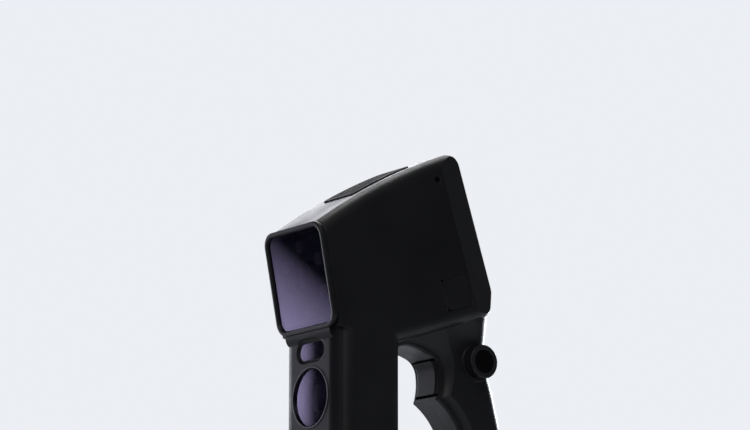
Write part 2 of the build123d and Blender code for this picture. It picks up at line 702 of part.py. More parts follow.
with BuildPart() as shells:
    add(casing.part)
    add(rear_zone(), mode=Mode.SUBTRACT)
    # Vent aperture
    with BuildSketch(vent_plane):
        RectangleRounded(VENT_WIDTH + 2 * SEAT_GAP, VENT_LENGTH + 2 * SEAT_GAP, VENT_CORNER)
    extrude(amount=2 * WALL, both=True, mode=Mode.SUBTRACT)
    # Trigger slot
    with BuildSketch(Plane.XZ.offset(-GROOVE_Y - 2 * TRIGGER_THICKNESS)):
        with Locations((0, (TRIGGER_LOW + TRIGGER_HIGH) / 2)):
            Rectangle(TRIGGER_WIDTH + 2 * MOVING_GAP, TRIGGER_HIGH - TRIGGER_LOW + 2 * TRIGGER_SWEEP)
    extrude(amount=3 * TRIGGER_THICKNESS, mode=Mode.SUBTRACT)
    add(ribs.part)
    # Rails behind the benches and under the main board
    with BuildSketch(window_plane.offset(-head_bench_front - BENCH_THICKNESS)):
        with Locations((-rail_x, 0), (rail_x, 0)):
            Rectangle(RAIL_WIDTH, HEAD_BENCH_HEIGHT / 2)
    extrude(amount=-RAIL_DEPTH)
    with BuildSketch(column_front_plane.offset(-COLUMN_BENCH_SETBACK - BENCH_THICKNESS)):
        with Locations((-rail_x, column_bench_middle), (rail_x, column_bench_middle)):
            Rectangle(RAIL_WIDTH, column_bench_height)
    extrude(amount=-RAIL_DEPTH)
    with BuildSketch(roof_plane.offset(-main_board_bottom)):
        with Locations((-rail_x, board_middle), (rail_x, board_middle)):
            Rectangle(RAIL_WIDTH, board_length)
    extrude(amount=-RAIL_DEPTH)
    # Posts for the side screws, the base screws, the trigger pin and its spring
    for screw_y, screw_z, screw_side, surface in SIDE_SCREWS:
        add(side_cylinder(screw_y, screw_z, SCREW_BOSS_RADIUS, WALL / 2 - surface, surface - WALL / 2))
    with BuildSketch(Plane.XY.offset(base_plate_top)):
        with Locations(*BASE_SCREWS):
            Circle(SCREW_BOSS_RADIUS)
    extrude(amount=BASE_TOP - WALL - base_plate_top)
    for pin_side in (-1, 1):
        pin_ends = sorted((pin_side * trigger_boss_inner, pin_side * trigger_boss_outer))
        add(side_cylinder(TRIGGER_PIN_Y, TRIGGER_PIN_Z, TRIGGER_POST_RADIUS, *pin_ends))
    with BuildSketch(Plane.XY.offset(SHELF_TOP)):
        with Locations((-SPRING_X, SPRING_SEAT + SPRING_POST / 2)):
            Rectangle(2 * SPRING_RADIUS, SPRING_POST)
    extrude(amount=SPRING_Z + SPRING_RADIUS - SHELF_TOP)
    # Holes for the screws and the trigger pin
    for screw_y, screw_z, screw_side, surface in SIDE_SCREWS:
        seat = surface - SCREW_SINK
        head_ends = sorted((screw_side * seat, screw_side * HALF_WIDTH))
        shank_ends = sorted((screw_side * seat, -screw_side * SCREW_REACH))
        add(side_cylinder(screw_y, screw_z, SCREW_HEAD_RADIUS + SEAT_GAP, *head_ends), mode=Mode.SUBTRACT)
        add(side_cylinder(screw_y, screw_z, SCREW_RADIUS + RUNNING_GAP, *shank_ends), mode=Mode.SUBTRACT)
    with BuildSketch(Plane.XY.offset(FOOT_HEIGHT)):
        with Locations(*BASE_SCREWS):
            Circle(SCREW_RADIUS + RUNNING_GAP)
    extrude(amount=SCREW_REACH + SCREW_HEAD_HEIGHT, mode=Mode.SUBTRACT)
    add(
        side_cylinder(TRIGGER_PIN_Y, TRIGGER_PIN_Z, trigger_bore, -pin_half, pin_half),
        mode=Mode.SUBTRACT,
    )

with BuildPart() as right_shell:
    add(shells.part)
    split(bisect_by=Plane.YZ, keep=Keep.BOTTOM)

with BuildPart() as left_shell:
    add(shells.part)
    split(bisect_by=Plane.YZ, keep=Keep.TOP)
    # Pad and bore for the dial
    add(side_cylinder(DIAL_Y, DIAL_Z, DIAL_PAD_RADIUS, ENCODER_FACE, DIAL_PAD_FACE))
    add(side_cylinder(DIAL_Y, DIAL_Z, bush_radius, ENCODER_FACE, DIAL_PAD_FACE), mode=Mode.SUBTRACT)
    # Pad behind the port flap, the flap's recess, its hinge channel and the socket's seat
    with BuildSketch(flap_plane.offset(-PORT_PAD_DEPTH)):
        with Locations((-PORT_PAD_MARGIN / 2, 0)):
            Rectangle(FLAP_WIDTH + 3 * PORT_PAD_MARGIN, FLAP_HEIGHT + 4 * PORT_PAD_MARGIN)
    extrude(amount=PORT_PAD_DEPTH - WALL / 2)
    with BuildSketch(flap_plane):
        RectangleRounded(FLAP_WIDTH + 2 * FLAP_GAP, FLAP_HEIGHT + 2 * FLAP_GAP, FLAP_CORNER + FLAP_GAP)
    extrude(amount=-flap_recess, mode=Mode.SUBTRACT)
    with BuildSketch(hinge_plane.offset(-hinge_half)):
        Circle(FLAP_BARREL_RADIUS + FLAP_GAP)
        with Locations((0, FLAP_BARREL_RADIUS)):
            Rectangle(2 * (FLAP_BARREL_RADIUS + FLAP_GAP), 2 * FLAP_BARREL_RADIUS)
    extrude(amount=2 * hinge_half, mode=Mode.SUBTRACT)
    with BuildSketch(hinge_plane.offset(-flap_pin_half)):
        Circle(FLAP_PIN_RADIUS + RUNNING_GAP)
    extrude(amount=2 * flap_pin_half, mode=Mode.SUBTRACT)
    with BuildSketch(flap_plane):
        RectangleRounded(SOCKET_HEIGHT + 2 * SEAT_GAP, SOCKET_WIDTH + 2 * SEAT_GAP, SOCKET_HEIGHT / 2)
    extrude(amount=-PORT_PAD_DEPTH, mode=Mode.SUBTRACT)

# Panels of the casing
with BuildPart() as column_fascia:
    add(outer.part)
    add(fascia_zone(), mode=Mode.INTERSECT)
    with BuildSketch(Plane.YZ):
        with BuildLine():
            Polyline((fascia_back, FASCIA_TOP), (lip_front, FASCIA_TOP), (lip_front, FASCIA_TOP - LIP_EDGE))
            RadiusArc((lip_front, FASCIA_TOP - LIP_EDGE), (COLUMN_FRONT, lip_bottom), -LIP_RADIUS)
            Polyline(
                (COLUMN_FRONT, lip_bottom),
                (fascia_back, lip_bottom),
                (fascia_back, FASCIA_TOP),
            )
        make_face()
    extrude(amount=HALF_WIDTH - COLUMN_CORNER + FASCIA_DEPTH, both=True)
    with BuildSketch(column_front_plane):
        with Locations((0, PILL_Z)):
            SlotOverall(PILL_LENGTH + 2 * PILL_SURROUND, PILL_HEIGHT + 2 * PILL_SURROUND)
    extrude(amount=-PILL_RECESS, taper=PILL_TAPER, mode=Mode.SUBTRACT)
    with BuildSketch(column_front_plane):
        with Locations((0, PILL_Z)):
            SlotOverall(PILL_LENGTH + 2 * PILL_SURROUND, PILL_HEIGHT + 2 * PILL_SURROUND)
    extrude(amount=FASCIA_LIP, mode=Mode.SUBTRACT)
    with BuildSketch(column_front_plane):
        with Locations((0, PILL_Z)):
            SlotOverall(PILL_LENGTH + 2 * SEAT_GAP, PILL_HEIGHT + 2 * SEAT_GAP)
    extrude(amount=-PILL_RECESS - PANE_THICKNESS, mode=Mode.SUBTRACT)
    with BuildSketch(column_front_plane):
        with Locations((0, PILL_Z)):
            SlotOverall(PILL_LENGTH - 2 * PANE_LEDGE, PILL_HEIGHT - 2 * PANE_LEDGE)
    extrude(amount=-2 * FASCIA_DEPTH, mode=Mode.SUBTRACT)
    with BuildSketch(column_front_plane):
        with Locations((0, ROUND_WINDOW_Z)):
            Circle(round_ring_radius + SEAT_GAP)
    extrude(amount=-ROUND_RECESS - PANE_THICKNESS, mode=Mode.SUBTRACT)
    with BuildSketch(column_front_plane):
        with Locations((0, ROUND_WINDOW_Z)):
            Circle(ROUND_WINDOW_DIAMETER / 2 - PANE_LEDGE)
    extrude(amount=-2 * FASCIA_DEPTH, mode=Mode.SUBTRACT)

with BuildPart() as round_window_ring:
    with BuildSketch(column_front_plane.offset(-ROUND_RECESS - PANE_THICKNESS)):
        with Locations((0, ROUND_WINDOW_Z)):
            Circle(round_ring_radius)
            Circle(ROUND_WINDOW_DIAMETER / 2 + SEAT_GAP, mode=Mode.SUBTRACT)
    extrude(amount=ROUND_RECESS + PANE_THICKNESS + RING_PROUD)
    fillet(round_window_ring.faces().sort_by(Axis.Y)[0].edges(), RING_EDGE)

with BuildPart() as round_window:
    with BuildSketch(column_front_plane.offset(-ROUND_RECESS - PANE_THICKNESS)):
        with Locations((0, ROUND_WINDOW_Z)):
            Circle(ROUND_WINDOW_DIAMETER / 2)
    extrude(amount=PANE_THICKNESS)

with BuildPart() as pill_window:
    with BuildSketch(column_front_plane.offset(-PILL_RECESS - PANE_THICKNESS)):
        with Locations((0, PILL_Z)):
            SlotOverall(PILL_LENGTH, PILL_HEIGHT)
    extrude(amount=PANE_THICKNESS)

with BuildPart() as head_bezel:
    with BuildSketch(window_plane):
        RectangleRounded(BODY_WIDTH, BEZEL_HEIGHT, HEAD_CORNER)
    extrude(amount=-BEZEL_DEPTH)
    outer_edges = head_bezel.faces().sort_by(Axis.Y)[0].edges()
    fillet(outer_edges, BEZEL_EDGE)
    with BuildSketch(window_plane.offset(-BEZEL_DEPTH)):
        RectangleRounded(
            2 * (inner_half - SEAT_GAP),
            BEZEL_HEIGHT - 2 * (WALL + SEAT_GAP),
            HEAD_CORNER - WALL - SEAT_GAP,
        )
    extrude(amount=-SPIGOT_DEPTH)
    with BuildSketch(window_plane):
        RectangleRounded(GLASS_WIDTH + 2 * SEAT_GAP, GLASS_HEIGHT + 2 * SEAT_GAP, GLASS_CORNER)
    extrude(amount=-glass_back, mode=Mode.SUBTRACT)
    with BuildSketch(window_plane):
        RectangleRounded(
            GLASS_WIDTH - 2 * GLASS_LEDGE,
            GLASS_HEIGHT - 2 * GLASS_LEDGE,
            GLASS_CORNER - GLASS_LEDGE,
        )
    extrude(amount=-spigot_end, mode=Mode.SUBTRACT)
    with BuildSketch(window_plane):
        RectangleRounded(
            GLASS_WIDTH + 2 * BEZEL_BEVEL,
            GLASS_HEIGHT + 2 * BEZEL_BEVEL,
            GLASS_CORNER + BEZEL_BEVEL,
        )
    extrude(amount=-GLASS_RECESS, taper=BEZEL_TAPER, mode=Mode.SUBTRACT)

with BuildPart() as head_window:
    with BuildSketch(window_plane.offset(-glass_back)):
        RectangleRounded(GLASS_WIDTH, GLASS_HEIGHT, GLASS_CORNER)
    extrude(amount=GLASS_THICKNESS)

with BuildPart() as vent_panel:
    add(roof_layer(VENT_WIDTH, VENT_LENGTH, VENT_CORNER, -WALL, VENT_PROUD))
    add(
        roof_layer(
            VENT_WIDTH + 2 * VENT_FLANGE,
            VENT_LENGTH + 2 * VENT_FLANGE,
            VENT_CORNER + VENT_FLANGE,
            -WALL - VENT_FLANGE_THICKNESS,
            -WALL,
        )
    )
    with BuildSketch(vent_plane.offset(-WALL)):
        Rectangle(VENT_WIDTH - 2 * VENT_FRAME, VENT_LENGTH - 2 * VENT_FRAME)
    extrude(amount=-2 * VENT_FLANGE_THICKNESS - ROOF_CROWN, mode=Mode.SUBTRACT)
    with BuildSketch(vent_plane):
        with GridLocations(0, LOUVRE_PITCH, 1, LOUVRE_COUNT):
            SlotOverall(VENT_WIDTH - 2 * VENT_FRAME, LOUVRE_WIDTH)
    extrude(amount=2 * WALL, both=True, mode=Mode.SUBTRACT)

with BuildPart() as base_plate:
    add(base_form(WALL + SEAT_GAP))
    add(level_slab(FOOT_HEIGHT, base_plate_top), mode=Mode.INTERSECT)
    with BuildSketch(Plane.XY.offset(base_plate_top)):
        Circle(INSERT_RADIUS + INSERT_WALL)
    extrude(amount=TRIPOD_LENGTH + INSERT_WALL - BASE_PLATE_THICKNESS)
    with BuildSketch(Plane.XY.offset(FOOT_HEIGHT)):
        Circle(INSERT_RADIUS + RUNNING_GAP)
    extrude(amount=TRIPOD_LENGTH, mode=Mode.SUBTRACT)
    with BuildSketch(Plane.XY.offset(FOOT_HEIGHT)):
        with Locations(*FOOT_PLACES):
            Circle(FOOT_RADIUS + RUNNING_GAP)
    extrude(amount=FOOT_SINK, mode=Mode.SUBTRACT)
    with BuildSketch(Plane.XY.offset(FOOT_HEIGHT)):
        with Locations(*BASE_SCREWS):
            Circle(SCREW_RADIUS + SEAT_GAP)
    extrude(amount=BASE_PLATE_THICKNESS, mode=Mode.SUBTRACT)
    with BuildSketch(Plane.XY.offset(FOOT_HEIGHT)):
        with Locations(*BASE_SCREWS):
            Circle(SCREW_HEAD_RADIUS + SEAT_GAP)
    extrude(amount=SCREW_HEAD_HEIGHT, mode=Mode.SUBTRACT)

with BuildPart() as tripod_insert:
    with BuildSketch(Plane.XY.offset(FOOT_HEIGHT)):
        Circle(INSERT_RADIUS)
        Circle(TRIPOD_RADIUS, mode=Mode.SUBTRACT)
    extrude(amount=TRIPOD_LENGTH)

with BuildPart() as feet:
    with BuildSketch(Plane.XY):
        with Locations(*FOOT_PLACES):
            Circle(FOOT_RADIUS)
    extrude(amount=FOOT_HEIGHT + FOOT_SINK)


# Screws
def screw_on(plane, reach):
    """Socket screw whose head stands on the plane and whose shank goes below it."""
    with BuildPart() as screw:
        with BuildSketch(plane):
            Circle(SCREW_HEAD_RADIUS)
        extrude(amount=SCREW_HEAD_HEIGHT)
        with BuildSketch(plane):
            Circle(SCREW_RADIUS)
        extrude(amount=-reach)
        with BuildSketch(plane.offset(SCREW_HEAD_HEIGHT)):
            RegularPolygon(SCREW_RADIUS, 6)
        extrude(amount=-SCREW_HEAD_HEIGHT / 2, mode=Mode.SUBTRACT)
    return screw.part


with BuildPart() as casing_screws:
    for screw_y, screw_z, screw_side, surface in SIDE_SCREWS:
        seat = surface - SCREW_SINK
        seat_plane = Plane(
            origin=(screw_side * seat, screw_y, screw_z),
            x_dir=(0, 1, 0),
            z_dir=(screw_side, 0, 0),
        )
        add(screw_on(seat_plane, seat + SCREW_REACH))

with BuildPart() as base_screws:
    for screw_x, screw_y in BASE_SCREWS:
        seat_plane = Plane(
            origin=(screw_x, screw_y, FOOT_HEIGHT + SCREW_HEAD_HEIGHT),
            x_dir=(1, 0, 0),
            z_dir=(0, 0, -1),
        )
        add(screw_on(seat_plane, SCREW_REACH))

# Optics behind the head window
with BuildPart() as lamp_board:
    with BuildSketch(window_plane.offset(-spigot_end)):
        RectangleRounded(2 * (inner_half - SEAT_GAP), BEZEL_HEIGHT - 3 * WALL, GLASS_CORNER)
        Circle(UPPER_BARREL_RADIUS + MOVING_GAP, mode=Mode.SUBTRACT)
    extrude(amount=-BOARD_THICKNESS)

with BuildPart() as lamp_lenses:
    with BuildSketch(window_plane.offset(-spigot_end)):
        with PolarLocations(LAMP_RING_RADIUS, LAMP_COUNT, start_angle=LAMP_TURN):
            Circle(LAMP_RADIUS)
    extrude(amount=LAMP_HEIGHT)
    window_axis = Axis(window_plane.origin, window_plane.z_dir)
    fillet(lamp_lenses.faces().filter_by(window_axis).group_by(window_axis)[-1].edges(), LAMP_EDGE)

with BuildPart() as head_bench:
    with BuildSketch(window_plane.offset(-head_bench_front)):
        RectangleRounded(2 * (inner_half - SEAT_GAP), HEAD_BENCH_HEIGHT, BENCH_CORNER)
    extrude(amount=-BENCH_THICKNESS)

with BuildPart() as upper_barrel:
    with BuildSketch(window_plane.offset(-lens_front)):
        Circle(UPPER_BARREL_RADIUS)
    extrude(amount=-UPPER_BARREL_LENGTH)
    with BuildSketch(window_plane.offset(-lens_front)):
        Circle(UPPER_BARREL_RADIUS - BARREL_WALL)
    extrude(amount=-LENS_RECESS - LENS_THICKNESS, mode=Mode.SUBTRACT)

with BuildPart() as upper_lens:
    with BuildSketch(window_plane.offset(-lens_front - LENS_RECESS - LENS_THICKNESS)):
        Circle(UPPER_BARREL_RADIUS - BARREL_WALL - RUNNING_GAP)
    extrude(amount=LENS_THICKNESS)

with BuildPart() as upper_camera:
    with BuildSketch(window_plane.offset(-head_bench_front - BENCH_THICKNESS)):
        RectangleRounded(UPPER_CAMERA_SIZE, UPPER_CAMERA_SIZE, CAMERA_CORNER)
    extrude(amount=-UPPER_CAMERA_LENGTH)

# Optics behind the column windows
with BuildPart() as column_bench:
    with BuildSketch(column_front_plane.offset(-COLUMN_BENCH_SETBACK)):
        with Locations((0, column_bench_middle)):
            Rectangle(2 * (inner_half - SEAT_GAP), column_bench_height)
    extrude(amount=-BENCH_THICKNESS)

with BuildPart() as lower_barrel:
    with BuildSketch(column_front_plane.offset(-COLUMN_BENCH_SETBACK)):
        with Locations((0, ROUND_WINDOW_Z)):
            Circle(LOWER_BARREL_RADIUS)
    extrude(amount=COLUMN_BENCH_SETBACK - FASCIA_DEPTH - LENS_SETBACK)
    with BuildSketch(column_front_plane.offset(-FASCIA_DEPTH - LENS_SETBACK)):
        with Locations((0, ROUND_WINDOW_Z)):
            Circle(LOWER_BARREL_RADIUS - BARREL_WALL)
    extrude(amount=-LENS_RECESS - LENS_THICKNESS, mode=Mode.SUBTRACT)

with BuildPart() as lower_lens:
    with BuildSketch(column_front_plane.offset(-FASCIA_DEPTH - LENS_SETBACK - LENS_RECESS - LENS_THICKNESS)):
        with Locations((0, ROUND_WINDOW_Z)):
            Circle(LOWER_BARREL_RADIUS - BARREL_WALL - RUNNING_GAP)
    extrude(amount=LENS_THICKNESS)

with BuildPart() as lower_camera:
    with BuildSketch(column_front_plane.offset(-COLUMN_BENCH_SETBACK - BENCH_THICKNESS)):
        with Locations((0, ROUND_WINDOW_Z)):
            Rectangle(LOWER_CAMERA_SIZE, LOWER_CAMERA_SIZE)
    extrude(amount=-LOWER_CAMERA_LENGTH)

with BuildPart() as laser_module:
    with BuildSketch(column_front_plane.offset(-COLUMN_BENCH_SETBACK)):
        with Locations((0, PILL_Z)):
            Rectangle(LASER_WIDTH, LASER_HEIGHT)
    extrude(amount=COLUMN_BENCH_SETBACK - FASCIA_DEPTH - LENS_SETBACK)

# Cooling and electronics under the roof
with BuildPart() as fan_frame:
    with BuildSketch(roof_plane.offset(-fan_top)):
        RectangleRounded(FAN_SIZE, FAN_SIZE, FAN_CORNER)
        Circle(FAN_BORE_RADIUS, mode=Mode.SUBTRACT)
    extrude(amount=-FAN_THICKNESS)
    with BuildSketch(roof_plane.offset(-sink_top)):
        Circle(FAN_HUB_RADIUS)
        with PolarLocations(FAN_BORE_RADIUS / 2, FAN_SPOKES):
            Rectangle(FAN_BORE_RADIUS + FAN_CORNER / 2, FAN_SPOKE_WIDTH)
    extrude(amount=FAN_FLOOR)
    with BuildSketch(roof_plane.offset(-sink_top)):
        Circle(FAN_SHAFT_RADIUS)
    extrude(amount=FAN_THICKNESS - 2 * FAN_FLOOR)

with BuildPart() as fan_rotor:
    with BuildSketch(roof_plane.offset(-sink_top + FAN_FLOOR + MOVING_GAP)):
        Circle(FAN_HUB_RADIUS)
    extrude(amount=FAN_THICKNESS - FAN_FLOOR - 2 * MOVING_GAP)
    with BuildSketch(roof_plane.offset(-sink_top + FAN_FLOOR + 2 * MOVING_GAP)):
        with PolarLocations(BLADE_MIDDLE, FAN_BLADES):
            Rectangle(BLADE_LENGTH, BLADE_THICKNESS, rotation=BLADE_TURN)
    extrude(amount=FAN_THICKNESS - FAN_FLOOR - 4 * MOVING_GAP)
    with BuildSketch(roof_plane.offset(-sink_top)):
        Circle(FAN_SHAFT_RADIUS + RUNNING_GAP)
    extrude(amount=FAN_THICKNESS - 2 * FAN_FLOOR + MOVING_GAP, mode=Mode.SUBTRACT)

with BuildPart() as heat_sink:
    with BuildSketch(roof_plane.offset(-chip_top)):
        Rectangle(SINK_SIZE, SINK_SIZE)
    extrude(amount=SINK_BASE)
    with BuildSketch(roof_plane.offset(-chip_top + SINK_BASE)):
        with GridLocations((SINK_SIZE - FIN_THICKNESS) / (SINK_FINS - 1), 0, SINK_FINS, 1):
            Rectangle(FIN_THICKNESS, SINK_SIZE)
    extrude(amount=SINK_FIN_HEIGHT)

with BuildPart() as processor:
    with BuildSketch(roof_plane.offset(-main_board_top)):
        Rectangle(CHIP_SIZE, CHIP_SIZE)
    extrude(amount=CHIP_THICKNESS)

with BuildPart() as main_board:
    with BuildSketch(roof_plane.offset(-main_board_bottom)):
        with Locations((0, board_middle)):
            Rectangle(2 * (inner_half - SEAT_GAP), board_length)
    extrude(amount=BOARD_THICKNESS)

# Display and power button
with BuildPart() as display_glass:
    with BuildSketch(rear_plane.offset(-DISPLAY_GLASS_THICKNESS)):
        RectangleRounded(DISPLAY_WIDTH, DISPLAY_LENGTH, DISPLAY_CORNER)
    extrude(amount=DISPLAY_GLASS_THICKNESS)

with BuildPart() as display_panel:
    with BuildSketch(rear_plane.offset(-WALL)):
        Rectangle(DISPLAY_WIDTH - DISPLAY_LEDGE / 2, DISPLAY_LENGTH - DISPLAY_LEDGE / 2)
    extrude(amount=-PANEL_THICKNESS)

with BuildPart() as power_button:
    with BuildSketch(rear_plane.offset(POWER_PROUD)):
        with Locations((0, power_y)):
            Circle(POWER_RADIUS)
    extrude(amount=-POWER_PROUD - WALL - MOVING_GAP)
    fillet(power_button.faces().sort_by(Axis.Y)[-1].edges(), POWER_PROUD / 2)
    with BuildSketch(rear_plane.offset(-WALL - SEAT_GAP)):
        with Locations((0, power_y)):
            Circle(POWER_RADIUS + POWER_FLANGE)
    extrude(amount=-POWER_FLANGE)

with BuildPart() as power_switch:
    with BuildSketch(rear_plane.offset(-switch_back)):
        with Locations((0, power_y)):
            Rectangle(POWER_SWITCH_SIZE, POWER_SWITCH_SIZE)
    extrude(amount=POWER_SWITCH_HEIGHT)

# Trigger group
with BuildPart() as trigger:
    with BuildSketch(Plane.XZ.offset(-GROOVE_Y - TRIGGER_THICKNESS)):
        with Locations((0, (TRIGGER_LOW + TRIGGER_HIGH) / 2)):
            Rectangle(TRIGGER_WIDTH, TRIGGER_HIGH - TRIGGER_LOW)
    extrude(amount=3 * TRIGGER_THICKNESS)
    add(opening_form(-TRIGGER_PROUD), mode=Mode.SUBTRACT)
    for trigger_side in trigger.faces().filter_by(Axis.X):
        front_edges = trigger_side.edges().filter_by(GeomType.CIRCLE)
        fillet(front_edges, TRIGGER_EDGE)
    add(side_cylinder(TRIGGER_PIN_Y, TRIGGER_PIN_Z, TRIGGER_BOSS_RADIUS, -trigger_half, trigger_half))
    with BuildSketch(Plane.XZ.offset(-NOSE_END)):
        with Locations((SPRING_X, TRIGGER_LOW + NOSE_HEIGHT)):
            Rectangle(NOSE_WIDTH, NOSE_HEIGHT)
    extrude(amount=NOSE_END - GROOVE_Y - TRIGGER_THICKNESS / 2)
    add(
        side_cylinder(TRIGGER_PIN_Y, TRIGGER_PIN_Z, trigger_bore, -trigger_half, trigger_half),
        mode=Mode.SUBTRACT,
    )

with BuildPart() as trigger_pin:
    add(side_cylinder(TRIGGER_PIN_Y, TRIGGER_PIN_Z, TRIGGER_PIN_RADIUS, -pin_half, pin_half))

with BuildPart() as trigger_spring:
    spring_front = GROOVE_Y + TRIGGER_THICKNESS + SPRING_WIRE / 2 + SEAT_GAP
    spring_length = SPRING_SEAT - SPRING_WIRE / 2 - SEAT_GAP - spring_front
    with BuildLine() as coil:
        Helix(
            spring_length / SPRING_TURNS,
            spring_length,
            SPRING_RADIUS - SPRING_WIRE / 2,
            center=(-SPRING_X, spring_front, SPRING_Z),
            direction=(0, 1, 0),
        )
    with BuildSketch(Plane(origin=coil.line @ 0, z_dir=coil.line % 0)):
        Circle(SPRING_WIRE / 2)
    sweep(is_frenet=True)

with BuildPart() as trigger_switch:
    with BuildSketch(Plane.XY.offset(SHELF_TOP)):
        with Locations((SPRING_X, SWITCH_FRONT + SWITCH_DEPTH / 2)):
            Rectangle(SWITCH_WIDTH, SWITCH_DEPTH)
    extrude(amount=SWITCH_HEIGHT)
    with BuildSketch(Plane.XZ.offset(-SWITCH_FRONT)):
        with Locations((SPRING_X, TRIGGER_LOW + NOSE_HEIGHT)):
            Circle(NOSE_HEIGHT / 3)
    extrude(amount=SWITCH_PLUNGER)

# Dial group
with BuildPart() as dial_knob:
    add(side_cylinder(DIAL_Y, DIAL_Z, DIAL_RADIUS, dial_low, dial_high))
    fillet(dial_knob.edges().filter_by(GeomType.CIRCLE), DIAL_EDGE)
    with BuildSketch(Plane.YZ.offset(dial_low)):
        with Locations((DIAL_Y, DIAL_Z)):
            with PolarLocations(DIAL_RADIUS, DIAL_KNURLS):
                Circle(KNURL_RADIUS)
    extrude(amount=DIAL_HEIGHT, mode=Mode.SUBTRACT)
    add(side_cylinder(DIAL_Y, DIAL_Z, DIAL_CAP_RADIUS + RUNNING_GAP, cap_low, dial_high), mode=Mode.SUBTRACT)
    add(side_cylinder(DIAL_Y, DIAL_Z, shaft_bore, dial_low, cap_low), mode=Mode.SUBTRACT)

with BuildPart() as dial_cap:
    add(side_cylinder(DIAL_Y, DIAL_Z, DIAL_CAP_RADIUS, cap_low, dial_high))

with BuildPart() as dial_shaft:
    add(side_cylinder(DIAL_Y, DIAL_Z, ENCODER_SHAFT_RADIUS, plunger_face, cap_low))

with BuildPart() as dial_plunger:
    add(side_cylinder(DIAL_Y, DIAL_Z, PLUNGER_RADIUS, plunger_face - PLUNGER_THICKNESS, plunger_face))

with BuildPart() as encoder_body:
    with BuildSketch(Plane.YZ.offset(ENCODER_FACE)):
        with Locations((DIAL_Y, DIAL_Z)):
            Rectangle(ENCODER_SIZE, ENCODER_SIZE)
    extrude(amount=-ENCODER_DEPTH)
    add(side_cylinder(DIAL_Y, DIAL_Z, ENCODER_BUSH_RADIUS, ENCODER_FACE, DIAL_PAD_FACE))
    add(
        side_cylinder(DIAL_Y, DIAL_Z, PLUNGER_RADIUS + RUNNING_GAP, cavity_low, cavity_high),
        mode=Mode.SUBTRACT,
    )
    add(side_cylinder(DIAL_Y, DIAL_Z, shaft_bore, cavity_low, DIAL_PAD_FACE), mode=Mode.SUBTRACT)

# Port flap group
with BuildPart() as port_flap:
    with BuildSketch(flap_plane.offset(-FLAP_THICKNESS)):
        RectangleRounded(FLAP_WIDTH, FLAP_HEIGHT, FLAP_CORNER)
    extrude(amount=FLAP_THICKNESS)
    with BuildSketch(hinge_plane.offset(-barrel_half)):
        Circle(FLAP_BARREL_RADIUS)
    extrude(amount=2 * barrel_half)
    with BuildSketch(hinge_plane.offset(-flap_pin_half)):
        Circle(FLAP_PIN_RADIUS + RUNNING_GAP)
    extrude(amount=2 * flap_pin_half, mode=Mode.SUBTRACT)

with BuildPart() as flap_pin:
    with BuildSketch(hinge_plane.offset(-flap_pin_half)):
        Circle(FLAP_PIN_RADIUS)
    extrude(amount=2 * flap_pin_half)

with BuildPart() as port_socket:
    with BuildSketch(flap_plane.offset(-PORT_PAD_DEPTH)):
        RectangleRounded(SOCKET_HEIGHT, SOCKET_WIDTH, SOCKET_HEIGHT / 2 - RUNNING_GAP)
    extrude(amount=PORT_PAD_DEPTH - flap_recess)
    with BuildSketch(flap_plane.offset(-flap_recess)):
        RectangleRounded(
            SOCKET_HEIGHT - 2 * SOCKET_WALL,
            SOCKET_WIDTH - 2 * SOCKET_WALL,
            SOCKET_HEIGHT / 2 - RUNNING_GAP - SOCKET_WALL,
        )
    extrude(amount=-SOCKET_MOUTH, mode=Mode.SUBTRACT)
    with BuildSketch(flap_plane.offset(-flap_recess - SOCKET_MOUTH)):
        Rectangle(SOCKET_WALL * 2, SOCKET_WIDTH / 2)
    extrude(amount=TONGUE_LENGTH)

with BuildPart() as port_board:
    with BuildSketch(flap_plane.offset(-PORT_PAD_DEPTH)):
        Rectangle(FLAP_WIDTH, FLAP_HEIGHT)
    extrude(amount=-BOARD_THICKNESS)

# Battery in the grip
with BuildPart() as battery_sleeve:
    add(cell_cylinder(SLEEVE_RADIUS, -sleeve_half, sleeve_half))
    add(cell_cylinder(CELL_RADIUS + RUNNING_GAP, -cell_half, sleeve_half), mode=Mode.SUBTRACT)

with BuildPart() as battery_cell:
    add(cell_cylinder(CELL_RADIUS, -cell_half, cell_half))

with BuildPart() as battery_contact:
    add(cell_cylinder(CELL_RADIUS, cell_half, sleeve_half))

pieces = {
    "left_shell": left_shell,
    "right_shell": right_shell,
    "rear_housing": rear_housing,
    "column_fascia": column_fascia,
    "head_bezel": head_bezel,
    "vent_panel": vent_panel,
    "base_plate": base_plate,
    "tripod_insert": tripod_insert,
    "feet": feet,
    "casing_screws": casing_screws,
    "base_screws": base_screws,
    "head_window": head_window,
    "pill_window": pill_window,
    "round_window": round_window,
    "round_window_ring": round_window_ring,
    "lamp_board": lamp_board,
    "lamp_lenses": lamp_lenses,
    "head_bench": head_bench,
    "upper_barrel": upper_barrel,
    "upper_lens": upper_lens,
    "upper_camera": upper_camera,
    "column_bench": column_bench,
    "lower_barrel": lower_barrel,
    "lower_lens": lower_lens,
    "lower_camera": lower_camera,
    "laser_module": laser_module,
    "fan_frame": fan_frame,
    "fan_rotor": fan_rotor,
    "heat_sink": heat_sink,
    "processor": processor,
    "main_board": main_board,
    "display_glass": display_glass,
    "display_panel": display_panel,
    "power_button": power_button,
    "power_switch": power_switch,
    "trigger": trigger,
    "trigger_pin": trigger_pin,
    "trigger_spring": trigger_spring,
    "trigger_switch": trigger_switch,
    "dial_knob": dial_knob,
    "dial_cap": dial_cap,
    "dial_shaft": dial_shaft,
    "dial_plunger": dial_plunger,
    "encoder_body": encoder_body,
    "port_flap": port_flap,
    "flap_pin": flap_pin,
    "port_socket": port_socket,
    "port_board": port_board,
    "battery_sleeve": battery_sleeve,
    "battery_cell": battery_cell,
    "battery_contact": battery_contact,
}
for piece_name, piece in pieces.items():
    piece.part.label = piece_name
    export_step(piece.part, f"parts/{piece_name}.step")
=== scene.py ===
import json
import math

